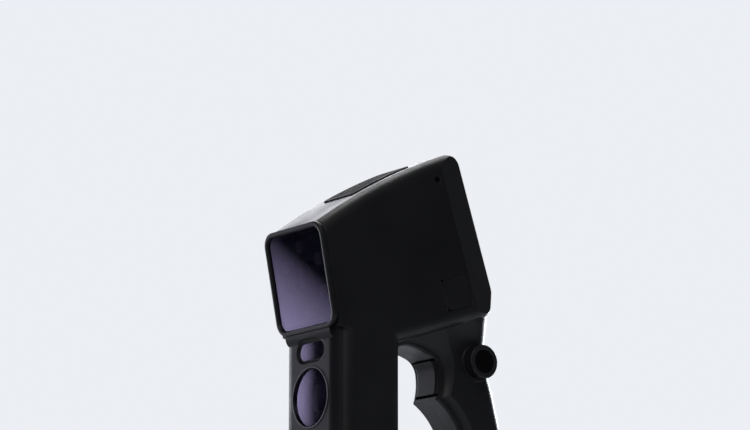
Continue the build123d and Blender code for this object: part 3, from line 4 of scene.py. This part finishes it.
import bmesh
import bpy
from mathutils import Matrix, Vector


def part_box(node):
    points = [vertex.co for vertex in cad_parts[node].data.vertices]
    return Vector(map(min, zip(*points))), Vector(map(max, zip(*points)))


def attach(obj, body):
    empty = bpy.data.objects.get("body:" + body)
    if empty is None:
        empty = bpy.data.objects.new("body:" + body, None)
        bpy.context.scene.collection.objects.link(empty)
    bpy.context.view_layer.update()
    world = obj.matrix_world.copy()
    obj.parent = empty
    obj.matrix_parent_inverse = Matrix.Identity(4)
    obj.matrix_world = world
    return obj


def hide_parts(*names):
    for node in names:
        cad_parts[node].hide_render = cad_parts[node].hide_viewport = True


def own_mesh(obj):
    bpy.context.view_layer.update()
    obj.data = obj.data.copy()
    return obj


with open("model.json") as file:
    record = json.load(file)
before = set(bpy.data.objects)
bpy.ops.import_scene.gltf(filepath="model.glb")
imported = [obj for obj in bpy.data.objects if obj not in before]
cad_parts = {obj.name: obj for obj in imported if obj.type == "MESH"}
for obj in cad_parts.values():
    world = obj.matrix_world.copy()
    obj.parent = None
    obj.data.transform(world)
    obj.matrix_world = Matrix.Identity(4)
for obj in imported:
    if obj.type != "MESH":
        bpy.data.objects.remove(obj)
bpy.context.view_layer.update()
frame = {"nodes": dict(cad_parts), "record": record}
nodes = frame["nodes"]
scene = bpy.context.scene
scene.view_settings.view_transform = "Standard"

MM = 0.001
ORIGIN = (0.0, 0.0, 0.0)

# Directions of the tilted faces, and the plain ones
WINDOW_TILT = math.radians(11.0)
REAR_TILT = math.radians(18.0)
WINDOW_NORMAL = Vector((0.0, -math.cos(WINDOW_TILT), -math.sin(WINDOW_TILT)))
REAR_DOWN = Vector((0.0, math.sin(REAR_TILT), -math.cos(REAR_TILT)))
FRONT_NORMAL = Vector((0.0, -1.0, 0.0))
BACKWARD = Vector((0.0, 1.0, 0.0))
SIDE_NORMAL = Vector((1.0, 0.0, 0.0))
UPWARD = Vector((0.0, 0.0, 1.0))


def node_middle(node):
    """Middle of a CAD node's box."""
    low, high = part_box(node)
    return (Vector(low) + Vector(high)) / 2


def stand_looking(thing, place, direction):
    """Puts a camera or a lamp at a place, looking along a direction."""
    thing.location = place
    thing.rotation_mode = "QUATERNION"
    thing.rotation_quaternion = direction.to_track_quat("-Z", "Y")
    scene.collection.objects.link(thing)


# Camera, at the photo's place below the table line
CAMERA_PLACE = Vector((1416.8, -1049.9, -173.3)) * MM
CAMERA_FORWARD = Vector((-0.7913, 0.5749, 0.2079))
CAMERA_LENS = 144.0
CAMERA_NEAR = 0.05
CAMERA_FAR = 20.0
SENSOR_WIDTH = 36.0

camera_data = bpy.data.cameras.new("camera")
camera_data.lens = CAMERA_LENS
camera_data.sensor_width = SENSOR_WIDTH
camera_data.clip_start = CAMERA_NEAR
camera_data.clip_end = CAMERA_FAR
camera = bpy.data.objects.new("camera", camera_data)
stand_looking(camera, CAMERA_PLACE, CAMERA_FORWARD)
scene.camera = camera

# Node trees
BEVEL_SAMPLES = 6
MIX_FACTOR, MIX_FIRST, MIX_SECOND = 0, 6, 7
MIX_RESULT = 2


def scaled(colour, factor):
    """A colour made darker or lighter."""
    return tuple(min(1.0, part * factor) for part in colour)


class Tree:
    """A node tree with short ways to add and join nodes."""

    def __init__(self, tree):
        self.tree = tree

    def add(self, kind, **settings):
        node = self.tree.nodes.new(kind)
        for key, value in settings.items():
            setattr(node, key, value)
        return node

    def join(self, source, target):
        self.tree.links.new(source, target)

    def spread(self, source, low, high, start=0.3, end=0.7, interpolation="LINEAR"):
        """Maps the part of a signal between start and end onto low to high."""
        node = self.add("ShaderNodeMapRange", interpolation_type=interpolation)
        node.inputs["From Min"].default_value = start
        node.inputs["From Max"].default_value = end
        node.inputs["To Min"].default_value = low
        node.inputs["To Max"].default_value = high
        self.join(source, node.inputs["Value"])
        return node.outputs["Result"]

    def math(self, operation, *sources):
        node = self.add("ShaderNodeMath", operation=operation)
        for source, socket in zip(sources, node.inputs):
            self.join(source, socket)
        return node.outputs["Value"]

    def with_vector(self, operation, source, vector):
        """Node that works on a vector signal and a fixed vector."""
        node = self.add("ShaderNodeVectorMath", operation=operation)
        self.join(source, node.inputs[0])
        node.inputs[1].default_value = vector
        return node


class Surface(Tree):
    """A material's node tree, in the object's own coordinates."""

    def __init__(self, name):
        self.material = bpy.data.materials.new(name)
        self.material.use_nodes = True
        super().__init__(self.material.node_tree)
        self.shader = self.tree.nodes["Principled BSDF"]
        self.output = self.tree.nodes["Material Output"]
        self.place = self.add("ShaderNodeTexCoord").outputs["Object"]

    def feed(self, name, source):
        self.join(source, self.shader.inputs[name])

    def set(self, **sockets):
        for name, value in sockets.items():
            self.shader.inputs[name.replace("_", " ")].default_value = value

    def noise(self, per_metre, detail=2.0, roughness=0.5, place=None):
        node = self.add("ShaderNodeTexNoise")
        node.inputs["Scale"].default_value = per_metre
        node.inputs["Detail"].default_value = detail
        node.inputs["Roughness"].default_value = roughness
        self.join(place or self.place, node.inputs["Vector"])
        return node.outputs["Fac"]

    def ramp(self, source, first, second, start=0.3, end=0.7):
        """Blends two colours by the part of a signal between start and end."""
        node = self.add("ShaderNodeValToRGB")
        stops = node.color_ramp.elements
        for stop, position, colour in zip(stops, (start, end), (first, second)):
            stop.position = position
            stop.color = (*colour, 1.0)
        self.join(source, node.inputs["Fac"])
        return node.outputs["Color"]

    def shades(self, source, colour, dark, light):
        """A colour made darker and lighter by a signal."""
        return self.ramp(source, scaled(colour, dark), scaled(colour, light))

    def mix(self, amount, first, second):
        """Blends a colour signal with a fixed colour."""
        node = self.add("ShaderNodeMix", data_type="RGBA")
        self.join(amount, node.inputs[MIX_FACTOR])
        self.join(first, node.inputs[MIX_FIRST])
        node.inputs[MIX_SECOND].default_value = (*second, 1.0)
        return node.outputs[MIX_RESULT]

    def offset_from(self, origin):
        return self.with_vector("SUBTRACT", self.place, origin).outputs["Vector"]

    def along(self, origin, direction):
        """Distance of a point from the origin along a direction."""
        return self.with_vector("DOT_PRODUCT", self.offset_from(origin), direction).outputs["Value"]

    def distance_from(self, origin, flatten=(1.0, 1.0, 1.0)):
        """Distance of a point from the origin, or from an axis where one part is flattened out."""
        flat = self.with_vector("MULTIPLY", self.offset_from(origin), flatten)
        length = self.add("ShaderNodeVectorMath", operation="LENGTH")
        self.join(flat.outputs["Vector"], length.inputs[0])
        return length.outputs["Value"]

    def soft_edges(self, radius):
        """Normal that rounds sharp edges."""
        node = self.add("ShaderNodeBevel", samples=BEVEL_SAMPLES)
        node.inputs["Radius"].default_value = radius
        return node.outputs["Normal"]

    def edges(self, radius):
        """1 on sharp edges, 0 on flat faces."""
        plain = self.add("ShaderNodeNewGeometry")
        dot = self.add("ShaderNodeVectorMath", operation="DOT_PRODUCT")
        self.join(self.soft_edges(radius), dot.inputs[0])
        self.join(plain.outputs["Normal"], dot.inputs[1])
        return self.spread(dot.outputs["Value"], low=1.0, high=0.0, start=0.75, end=0.99)

    def bump(self, height, depth, strength, below=None):
        node = self.add("ShaderNodeBump")
        node.inputs["Distance"].default_value = depth
        node.inputs["Strength"].default_value = strength
        self.join(height, node.inputs["Height"])
        if below:
            self.join(below, node.inputs["Normal"])
        return node.outputs["Normal"]


# Kinds of material
EDGE_ROUND = 0.35 * MM
WEAR_REACH = 0.5 * MM
PARTING_HALF = 0.12 * MM
GRAIN = 0.4 * MM
GRAIN_DEPTH = 0.02 * MM
TOOL_LINE_DEPTH = 0.012 * MM
FROST_DEPTH = 0.02 * MM
RUBBER_DEPTH = 0.03 * MM
SCREEN_EDGE = 0.2 * MM
SCREEN_BORDER_DARK = (0.002, 0.002, 0.0025)
SCREEN_BORDER_DUSTY = (0.004, 0.004, 0.0045)
SCREEN_ACTIVE = (0.012, 0.014, 0.019)
LENS_RIM = (0.01, 0.03, 0.035)
LENS_BAFFLE = (0.002, 0.002, 0.003)
FROST_DARK = (0.3, 0.27, 0.38)
FROST_LIGHT = (0.42, 0.38, 0.5)


def moulded(
    name,
    colour,
    roughness,
    depth=GRAIN_DEPTH,
    worn=None,
    specular=0.35,
    parted=False,
    rounding=EDGE_ROUND,
):
    """Moulded plastic: fine grain, cloudy colour and gloss, worn edges, a line where two halves meet."""
    surface = Surface(name)
    cloud = surface.noise(per_metre=26.0, detail=4.0)
    shade = surface.shades(cloud, colour, dark=0.8, light=1.25)
    if worn:
        patches = surface.spread(surface.noise(per_metre=150.0, detail=3.0), low=0.15, high=0.8)
        shade = surface.mix(surface.math("MULTIPLY", surface.edges(WEAR_REACH), patches), shade, worn)
    smear = surface.noise(per_metre=48.0, detail=5.0, roughness=0.6)
    surface.feed("Roughness", surface.spread(smear, low=roughness - 0.05, high=roughness + 0.07))
    fine = surface.noise(per_metre=1.0 / GRAIN)
    normal = surface.bump(fine, depth, strength=0.6, below=surface.soft_edges(rounding))
    if parted:
        across = surface.math("ABSOLUTE", surface.along(ORIGIN, SIDE_NORMAL))
        line = surface.spread(across, low=0.0, high=1.0, start=PARTING_HALF / 2, end=PARTING_HALF)
        normal = surface.bump(line, PARTING_HALF, strength=0.8, below=normal)
    surface.feed("Base Color", shade)
    surface.feed("Normal", normal)
    surface.set(Specular_IOR_Level=specular)
    return surface.material


def turned(name, colour, roughness, centre=None, flatten=None):
    """Machined metal with fine tool lines, in rings round an axis where a centre is given."""
    surface = Surface(name)
    if centre is None:
        lines = surface.noise(per_metre=900.0, detail=3.0, roughness=0.6)
    else:
        rings = surface.add("ShaderNodeCombineXYZ")
        surface.join(surface.distance_from(centre, flatten), rings.inputs["X"])
        lines = surface.noise(per_metre=4200.0, roughness=0.6, place=rings.outputs["Vector"])
    rounded = surface.soft_edges(EDGE_ROUND / 2)
    surface.feed("Base Color", surface.shades(lines, colour, dark=0.75, light=1.2))
    surface.feed("Roughness", surface.spread(lines, low=roughness - 0.06, high=roughness + 0.1))
    surface.feed("Normal", surface.bump(lines, TOOL_LINE_DEPTH, strength=0.5, below=rounded))
    surface.set(Metallic=1.0)
    return surface.material


def coated_glass(name, tint, cover, reflection):
    """Window with a tinted coating, partly see-through."""
    surface = Surface(name)
    haze = surface.noise(per_metre=70.0, detail=4.0, roughness=0.6)
    surface.feed("Base Color", surface.shades(haze, tint, dark=0.8, light=1.15))
    surface.feed("Roughness", surface.spread(haze, low=0.02, high=0.045))
    surface.set(Specular_IOR_Level=0.5, Specular_Tint=(*reflection, 1.0), IOR=1.75, Alpha=cover)
    surface.set(Coat_Weight=0.6, Coat_Roughness=0.03, Coat_IOR=1.5)
    return surface.material


def screen_glass(name, middle, half_width, half_length):
    """Display glass: a black border round a faintly lighter active area, with finger smears."""
    surface = Surface(name)
    across = surface.math("ABSOLUTE", surface.along(middle, SIDE_NORMAL))
    down = surface.math("ABSOLUTE", surface.along(middle, REAR_DOWN))
    in_width = surface.spread(across, low=1.0, high=0.0, start=half_width - SCREEN_EDGE, end=half_width)
    in_length = surface.spread(down, low=1.0, high=0.0, start=half_length - SCREEN_EDGE, end=half_length)
    active = surface.math("MULTIPLY", in_width, in_length)
    dust = surface.noise(per_metre=240.0, detail=4.0)
    border = surface.ramp(dust, SCREEN_BORDER_DARK, SCREEN_BORDER_DUSTY)
    surface.feed("Base Color", surface.mix(active, border, SCREEN_ACTIVE))
    smear = surface.noise(per_metre=40.0, detail=5.0, roughness=0.65)
    surface.feed("Roughness", surface.spread(smear, low=0.05, high=0.16))
    surface.set(Specular_IOR_Level=0.5, Coat_Weight=0.5, Coat_Roughness=0.03)
    return surface.material


def lens_glass(name, centre, tint):
    """Optical glass whose coating changes colour towards the rim, over dark baffle rings."""
    surface = Surface(name)
    facing = surface.add("ShaderNodeLayerWeight")
    facing.inputs["Blend"].default_value = 0.35
    coat = surface.ramp(facing.outputs["Facing"], tint, LENS_RIM, start=0.1, end=0.8)
    baffles = surface.add("ShaderNodeTexWave", wave_type="RINGS", rings_direction="SPHERICAL")
    baffles.inputs["Scale"].default_value = 110.0
    surface.join(surface.offset_from(centre), baffles.inputs["Vector"])
    rings = surface.spread(baffles.outputs["Fac"], low=0.0, high=0.7, start=0.35, end=0.65)
    surface.feed("Base Color", surface.mix(rings, coat, LENS_BAFFLE))
    polish = surface.noise(per_metre=120.0, detail=3.0)
    surface.feed("Roughness", surface.spread(polish, low=0.03, high=0.07))
    surface.set(Coat_Weight=1.0, Coat_Roughness=0.02, IOR=1.7)
    return surface.material


def lamp_glass(name):
    """Frosted lens of a lamp."""
    surface = Surface(name)
    frost = surface.noise(per_metre=500.0, detail=3.0)
    surface.feed("Base Color", surface.ramp(frost, FROST_DARK, FROST_LIGHT))
    surface.feed("Roughness", surface.spread(frost, low=0.22, high=0.36))
    surface.feed("Normal", surface.bump(frost, FROST_DEPTH, strength=0.5))
    surface.set(Coat_Weight=0.5, Coat_Roughness=0.08)
    return surface.material


def rubber(name, colour):
    """Matt rubber with a dusty bloom."""
    surface = Surface(name)
    cloud = surface.noise(per_metre=60.0, detail=4.0)
    pores = surface.noise(per_metre=1400.0, detail=3.0)
    rounded = surface.soft_edges(EDGE_ROUND)
    surface.feed("Base Color", surface.shades(cloud, colour, dark=0.7, light=1.3))
    surface.feed("Roughness", surface.spread(cloud, low=0.6, high=0.8))
    surface.feed("Normal", surface.bump(pores, RUBBER_DEPTH, strength=0.7, below=rounded))
    surface.set(Specular_IOR_Level=0.2)
    return surface.material


def circuit(name, colour):
    """Solder mask with tracks under it."""
    surface = Surface(name)
    tracks = surface.add("ShaderNodeTexBrick", offset=0.5)
    tracks.inputs["Scale"].default_value = 220.0
    tracks.inputs["Mortar Size"].default_value = 0.08
    for socket, factor in (("Color1", 1.0), ("Color2", 0.8), ("Mortar", 1.9)):
        tracks.inputs[socket].default_value = (*scaled(colour, factor), 1.0)
    surface.join(surface.place, tracks.inputs["Vector"])
    surface.feed("Base Color", tracks.outputs["Color"])
    surface.feed("Roughness", surface.spread(surface.noise(per_metre=80.0), low=0.3, high=0.45))
    return surface.material


# Materials, one for each slot
BLACK = (0.0065, 0.0065, 0.0075)
WORN_BLACK = (0.02, 0.02, 0.022)
WORN_DIAL = (0.05, 0.05, 0.054)
GLASS_TINT = (0.006, 0.005, 0.012)
VIOLET = (0.62, 0.52, 1.0)
CASING_ROUND = 1.0 * MM
COARSE_DEPTH = 0.03 * MM
SCREEN_SIDE_BORDER = 2.5 * MM
SCREEN_END_BORDER = 3.5 * MM
RINGS_ROUND_X = (0.0, 1.0, 1.0)
RINGS_ROUND_Y = (1.0, 0.0, 1.0)
RINGS_ROUND_Z = (1.0, 1.0, 0.0)
MOULDED = {
    "casing_black": dict(
        colour=BLACK,
        roughness=0.44,
        worn=WORN_BLACK,
        specular=0.25,
        parted=True,
        rounding=CASING_ROUND,
    ),
    "rear_black": dict(colour=BLACK, roughness=0.42, worn=WORN_BLACK, specular=0.25),
    "fascia_black": dict(colour=BLACK, roughness=0.46, worn=WORN_BLACK, specular=0.14),
    "trigger_black": dict(colour=BLACK, roughness=0.48, worn=WORN_BLACK, specular=0.12),
    "dial_black": dict(colour=BLACK, roughness=0.36, depth=COARSE_DEPTH, worn=WORN_DIAL, specular=0.5),
    "vent_grey": dict(colour=(0.016, 0.016, 0.017), roughness=0.75, depth=COARSE_DEPTH, specular=0.2),
    "inner_black": dict(colour=(0.008, 0.008, 0.009), roughness=0.5),
    "button_grey": dict(colour=(0.05, 0.05, 0.055), roughness=0.5),
    "cell_wrap": dict(colour=(0.03, 0.07, 0.25), roughness=0.35),
}
TURNED = {
    "ring_metal": dict(
        colour=(0.045, 0.045, 0.05),
        roughness=0.36,
        centre=node_middle("round_window_ring"),
        flatten=RINGS_ROUND_Y,
    ),
    "dial_cap_black": dict(
        colour=(0.014, 0.014, 0.016),
        roughness=0.4,
        centre=node_middle("dial_cap"),
        flatten=RINGS_ROUND_X,
    ),
    "tripod_brass": dict(colour=(0.72, 0.52, 0.24), roughness=0.3, centre=ORIGIN, flatten=RINGS_ROUND_Z),
    "screw_steel": dict(colour=(0.06, 0.06, 0.065), roughness=0.42),
    "bench_aluminium": dict(colour=(0.10, 0.10, 0.11), roughness=0.45),
}
screen_low, screen_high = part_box("display_glass")
screen_width = screen_high[0] - screen_low[0]
screen_length = (screen_high[2] - screen_low[2]) / math.cos(REAR_TILT)

materials = {slot: moulded(slot, **look) for slot, look in MOULDED.items()}
materials.update({slot: turned(slot, **look) for slot, look in TURNED.items()})
materials["coated_glass"] = coated_glass("coated_glass", GLASS_TINT, cover=0.65, reflection=VIOLET)
materials["display_glass"] = screen_glass(
    "display_glass",
    node_middle("display_glass"),
    half_width=screen_width / 2 - SCREEN_SIDE_BORDER,
    half_length=screen_length / 2 - SCREEN_END_BORDER,
)
materials["lens_glass"] = lamp_glass("lens_glass")
materials["foot_rubber"] = rubber("foot_rubber", (0.02, 0.02, 0.02))
materials["flap_rubber"] = rubber("flap_rubber", BLACK)
materials["board_green"] = circuit("board_green", (0.012, 0.07, 0.03))
for entry in frame["record"]["subparts"]:
    mesh = nodes[entry["node"]].data
    mesh.materials.clear()
    mesh.materials.append(materials[entry["material_slot"]])

# Pieces that stand in for plain solids
QUAD_CORNERS = 4


def skin(shape, rows):
    """Joins each ring of points to the next by a band of faces."""
    for first, second in zip(rows, rows[1:]):
        for index in range(len(first)):
            following = (index + 1) % len(first)
            shape.faces.new((first[index], first[following], second[following], second[index]))


def casing_piece(name, shape, node, material):
    """Object on the casing that replaces a CAD node, smooth apart from its end faces."""
    bmesh.ops.recalc_face_normals(shape, faces=shape.faces)
    data = bpy.data.meshes.new(name)
    shape.to_mesh(data)
    shape.free()
    for face in data.polygons:
        face.use_smooth = len(face.vertices) <= QUAD_CORNERS
    data.materials.append(material)
    piece = bpy.data.objects.new(name, data)
    scene.collection.objects.link(piece)
    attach(piece, "casing")
    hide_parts(node)
    return piece


# Domed lenses in place of the plain discs
LENS_RINGS = 14
LENS_SEGMENTS = 72
LENS_SAG = 0.9 * MM
LENS_WELD = 0.001 * MM


def domed_lens(name, node, normal, tint):
    """Lens with a domed face on the disc's own back and rim."""
    low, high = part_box(node)
    radius = (high[0] - low[0]) / 2
    middle = node_middle(node)
    thickness = (high[1] - low[1] - 2 * radius * abs(normal.z)) / abs(normal.y)
    up = normal.cross(SIDE_NORMAL).normalized()
    profile = []
    for step in range(LENS_RINGS + 1):
        share = step / LENS_RINGS
        profile.append((radius * share, thickness / 2 - LENS_SAG * share * share))
    profile.append((radius, -thickness / 2))
    shape = bmesh.new()
    rows = []
    for reach, height in profile:
        row = []
        for segment in range(LENS_SEGMENTS):
            turn = math.tau * segment / LENS_SEGMENTS
            spoke = math.cos(turn) * SIDE_NORMAL + math.sin(turn) * up
            row.append(shape.verts.new(middle + normal * height + spoke * reach))
        rows.append(row)
    skin(shape, rows)
    shape.faces.new(rows[-1])
    bmesh.ops.remove_doubles(shape, verts=shape.verts, dist=LENS_WELD)
    casing_piece(name, shape, node, lens_glass(name, middle, tint))


domed_lens("upper_lens_dome", "upper_lens", WINDOW_NORMAL, tint=(0.035, 0.02, 0.08))
domed_lens("lower_lens_dome", "lower_lens", FRONT_NORMAL, tint=(0.03, 0.018, 0.07))

# Trigger spring with closed ends
COIL_TURNS = 6.5
COIL_FLAT_TURNS = 0.75
COIL_STEPS = 28
COIL_SIDES = 10
COIL_WIRE_RADIUS = 0.3 * MM
COIL_COLOUR = (0.4, 0.4, 0.42)
COIL_ROUGHNESS = 0.3


def coil_spring(name, node):
    """Wire wound along Y in the node's box."""
    low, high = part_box(node)
    middle = node_middle(node)
    reach = (high[0] - low[0]) / 2 - COIL_WIRE_RADIUS
    length = high[1] - low[1] - 2 * COIL_WIRE_RADIUS
    axis = BACKWARD
    shape = bmesh.new()
    rows = []
    for step in range(round(COIL_TURNS * COIL_STEPS) + 1):
        turns = step / COIL_STEPS
        rise = (turns - COIL_FLAT_TURNS) / (COIL_TURNS - 2 * COIL_FLAT_TURNS)
        depth = low[1] + COIL_WIRE_RADIUS + length * min(max(rise, 0.0), 1.0)
        spoke = Vector((math.cos(math.tau * turns), 0.0, math.sin(math.tau * turns)))
        centre = Vector((middle.x, depth, middle.z)) + spoke * reach
        row = []
        for side in range(COIL_SIDES):
            turn = math.tau * side / COIL_SIDES
            offset = (spoke * math.cos(turn) + axis * math.sin(turn)) * COIL_WIRE_RADIUS
            row.append(shape.verts.new(centre + offset))
        rows.append(row)
    skin(shape, rows)
    shape.faces.new(rows[0])
    shape.faces.new(rows[-1])
    steel = turned("spring_steel", COIL_COLOUR, COIL_ROUGHNESS)
    coil = casing_piece(name, shape, node, steel)
    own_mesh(coil)


coil_spring("trigger_coil", "trigger_spring")

# World: pale where it is seen, and in gloss brighter behind the object than on the camera's side
PALE = (0.84, 0.86, 0.9)
SKY = (0.8, 0.84, 0.92)
SKY_LIGHT = 0.25
SEEN_LIGHT = 1.0
GLOSS_FRONT = 0.09
GLOSS_BEHIND = 0.55
GLOSS_START = 0.4
GLOSS_END = 0.95

world = bpy.data.worlds.new("studio")
world.use_nodes = True
scene.world = world
studio = Tree(world.node_tree)


def backdrop(colour, strength):
    node = studio.add("ShaderNodeBackground")
    node.inputs["Color"].default_value = (*colour, 1.0)
    node.inputs["Strength"].default_value = strength
    return node


def either(choice, first, second):
    """Shader that is the second where the choice is 1, and the first elsewhere."""
    node = studio.add("ShaderNodeMixShader")
    studio.join(choice, node.inputs["Fac"])
    studio.join(first, node.inputs[1])
    studio.join(second, node.inputs[2])
    return node.outputs["Shader"]


lighting = backdrop(SKY, SKY_LIGHT)
mirrored = backdrop(PALE, GLOSS_BEHIND)
seen = backdrop(PALE, SEEN_LIGHT)
direction = studio.add("ShaderNodeTexCoord").outputs["Generated"]
behind = studio.with_vector("DOT_PRODUCT", direction, CAMERA_FORWARD).outputs["Value"]
falloff = studio.spread(behind, GLOSS_FRONT, GLOSS_BEHIND, GLOSS_START, GLOSS_END, "SMOOTHSTEP")
studio.join(falloff, mirrored.inputs["Strength"])
path = studio.add("ShaderNodeLightPath").outputs
direct = studio.math("MAXIMUM", path["Is Camera Ray"], path["Is Transmission Ray"])
indirect = either(path["Is Glossy Ray"], lighting.outputs["Background"], mirrored.outputs["Background"])
surroundings = either(direct, indirect, seen.outputs["Background"])
studio.join(surroundings, studio.tree.nodes["World Output"].inputs["Surface"])

# Lamps
LAMP_AIM = Vector((0.0, 0.0, 0.13))
WHITE = (1.0, 1.0, 1.0)


def soft_light(name, place, size, power, colour=WHITE):
    """Area lamp aimed at the object, which the camera doesn't see."""
    data = bpy.data.lights.new(name, "AREA")
    data.shape = "RECTANGLE"
    data.size, data.size_y = size
    data.energy = power
    data.color = colour
    lamp = bpy.data.objects.new(name, data)
    lamp.visible_camera = False
    stand_looking(lamp, place, LAMP_AIM - Vector(place))


soft_light("fill", place=(0.9, -0.8, 1.0), size=(0.9, 0.9), power=9.0)
soft_light("top", place=(-0.4, 0.25, 1.25), size=(0.5, 0.5), power=5.0)
soft_light("roof", place=(-1.0, 0.65, 0.75), size=(0.7, 0.5), power=7.0, colour=(0.93, 0.93, 1.0))
soft_light("left", place=(-1.16, -0.2, 0.27), size=(0.35, 0.6), power=5.0, colour=(0.9, 0.94, 1.0))
soft_light("rim", place=(-0.5, 1.1, 0.3), size=(0.3, 0.6), power=20.0, colour=(0.86, 0.92, 1.0))

# Cards whose light fades across them, mirrored in the head's window and in the column's round window
CARD_REACH = 0.9
CARD_HALF_WIDTH = 0.15
CARD_LIGHT = 4.0
CARD_COLOUR = (0.8, 0.74, 1.0)


def mirrored_card(window, normal, low, high, lean, fade):
    """Card where the camera sees it in a window's middle, fading from one side or corner to the other."""
    middle = node_middle(window)
    sight = (middle - CAMERA_PLACE).normalized()
    way = sight - 2 * sight.dot(normal) * normal
    side = way.cross(UPWARD).normalized()
    up = side.cross(way)
    corners = []
    for side_step, rise in ((-1, low), (1, low), (1, high), (-1, high)):
        corners.append(side * side_step * CARD_HALF_WIDTH + up * rise)
    mesh = bpy.data.meshes.new(window + "_card")
    mesh.from_pydata(corners, [], [(0, 1, 2, 3)])
    card = bpy.data.objects.new(window + "_card", mesh)
    card.location = middle + way * CARD_REACH
    card.visible_camera = False
    card.visible_diffuse = False
    card.visible_transmission = False
    card.visible_shadow = False
    scene.collection.objects.link(card)
    surface = Surface(window + "_card")
    slope = (side + up * lean).normalized()
    start, end = fade
    light = surface.spread(surface.along(ORIGIN, slope), low=0.0, high=CARD_LIGHT, start=start, end=end)
    glow = surface.add("ShaderNodeEmission")
    glow.inputs["Color"].default_value = (*CARD_COLOUR, 1.0)
    surface.join(light, glow.inputs["Strength"])
    surface.join(glow.outputs["Emission"], surface.output.inputs["Surface"])
    mesh.materials.append(surface.material)


mirrored_card("head_window", WINDOW_NORMAL, low=-0.15, high=0.053, lean=-0.6, fade=(-0.014, 0.06))
mirrored_card("round_window", FRONT_NORMAL, low=-0.0255, high=0.25, lean=0.0, fade=(-0.002, 0.015))

# Floor that fades into the backdrop
FLOOR_RADIUS = 0.42
FLOOR_SEGMENTS = 96
FLOOR_DROP = 0.5 * MM
FLOOR_DARK = (0.74, 0.75, 0.78)
FLOOR_LIGHT = (0.8, 0.81, 0.83)


def faded_floor():
    """Pale disc just under the feet, clear at its rim."""
    data = bpy.data.meshes.new("floor")
    shape = bmesh.new()
    bmesh.ops.create_circle(shape, cap_ends=True, radius=FLOOR_RADIUS, segments=FLOOR_SEGMENTS)
    shape.to_mesh(data)
    shape.free()
    floor = bpy.data.objects.new("floor", data)
    floor.location = (0.0, 0.0, -FLOOR_DROP)
    scene.collection.objects.link(floor)
    surface = Surface("floor")
    cloud = surface.noise(per_metre=6.0)
    surface.feed("Base Color", surface.ramp(cloud, FLOOR_DARK, FLOOR_LIGHT))
    surface.set(Roughness=0.8, Specular_IOR_Level=0.2)
    reach = surface.distance_from(ORIGIN)
    surface.feed("Alpha", surface.spread(reach, low=1.0, high=0.0, start=FLOOR_RADIUS / 2, end=FLOOR_RADIUS))
    data.materials.append(surface.material)


faded_floor()
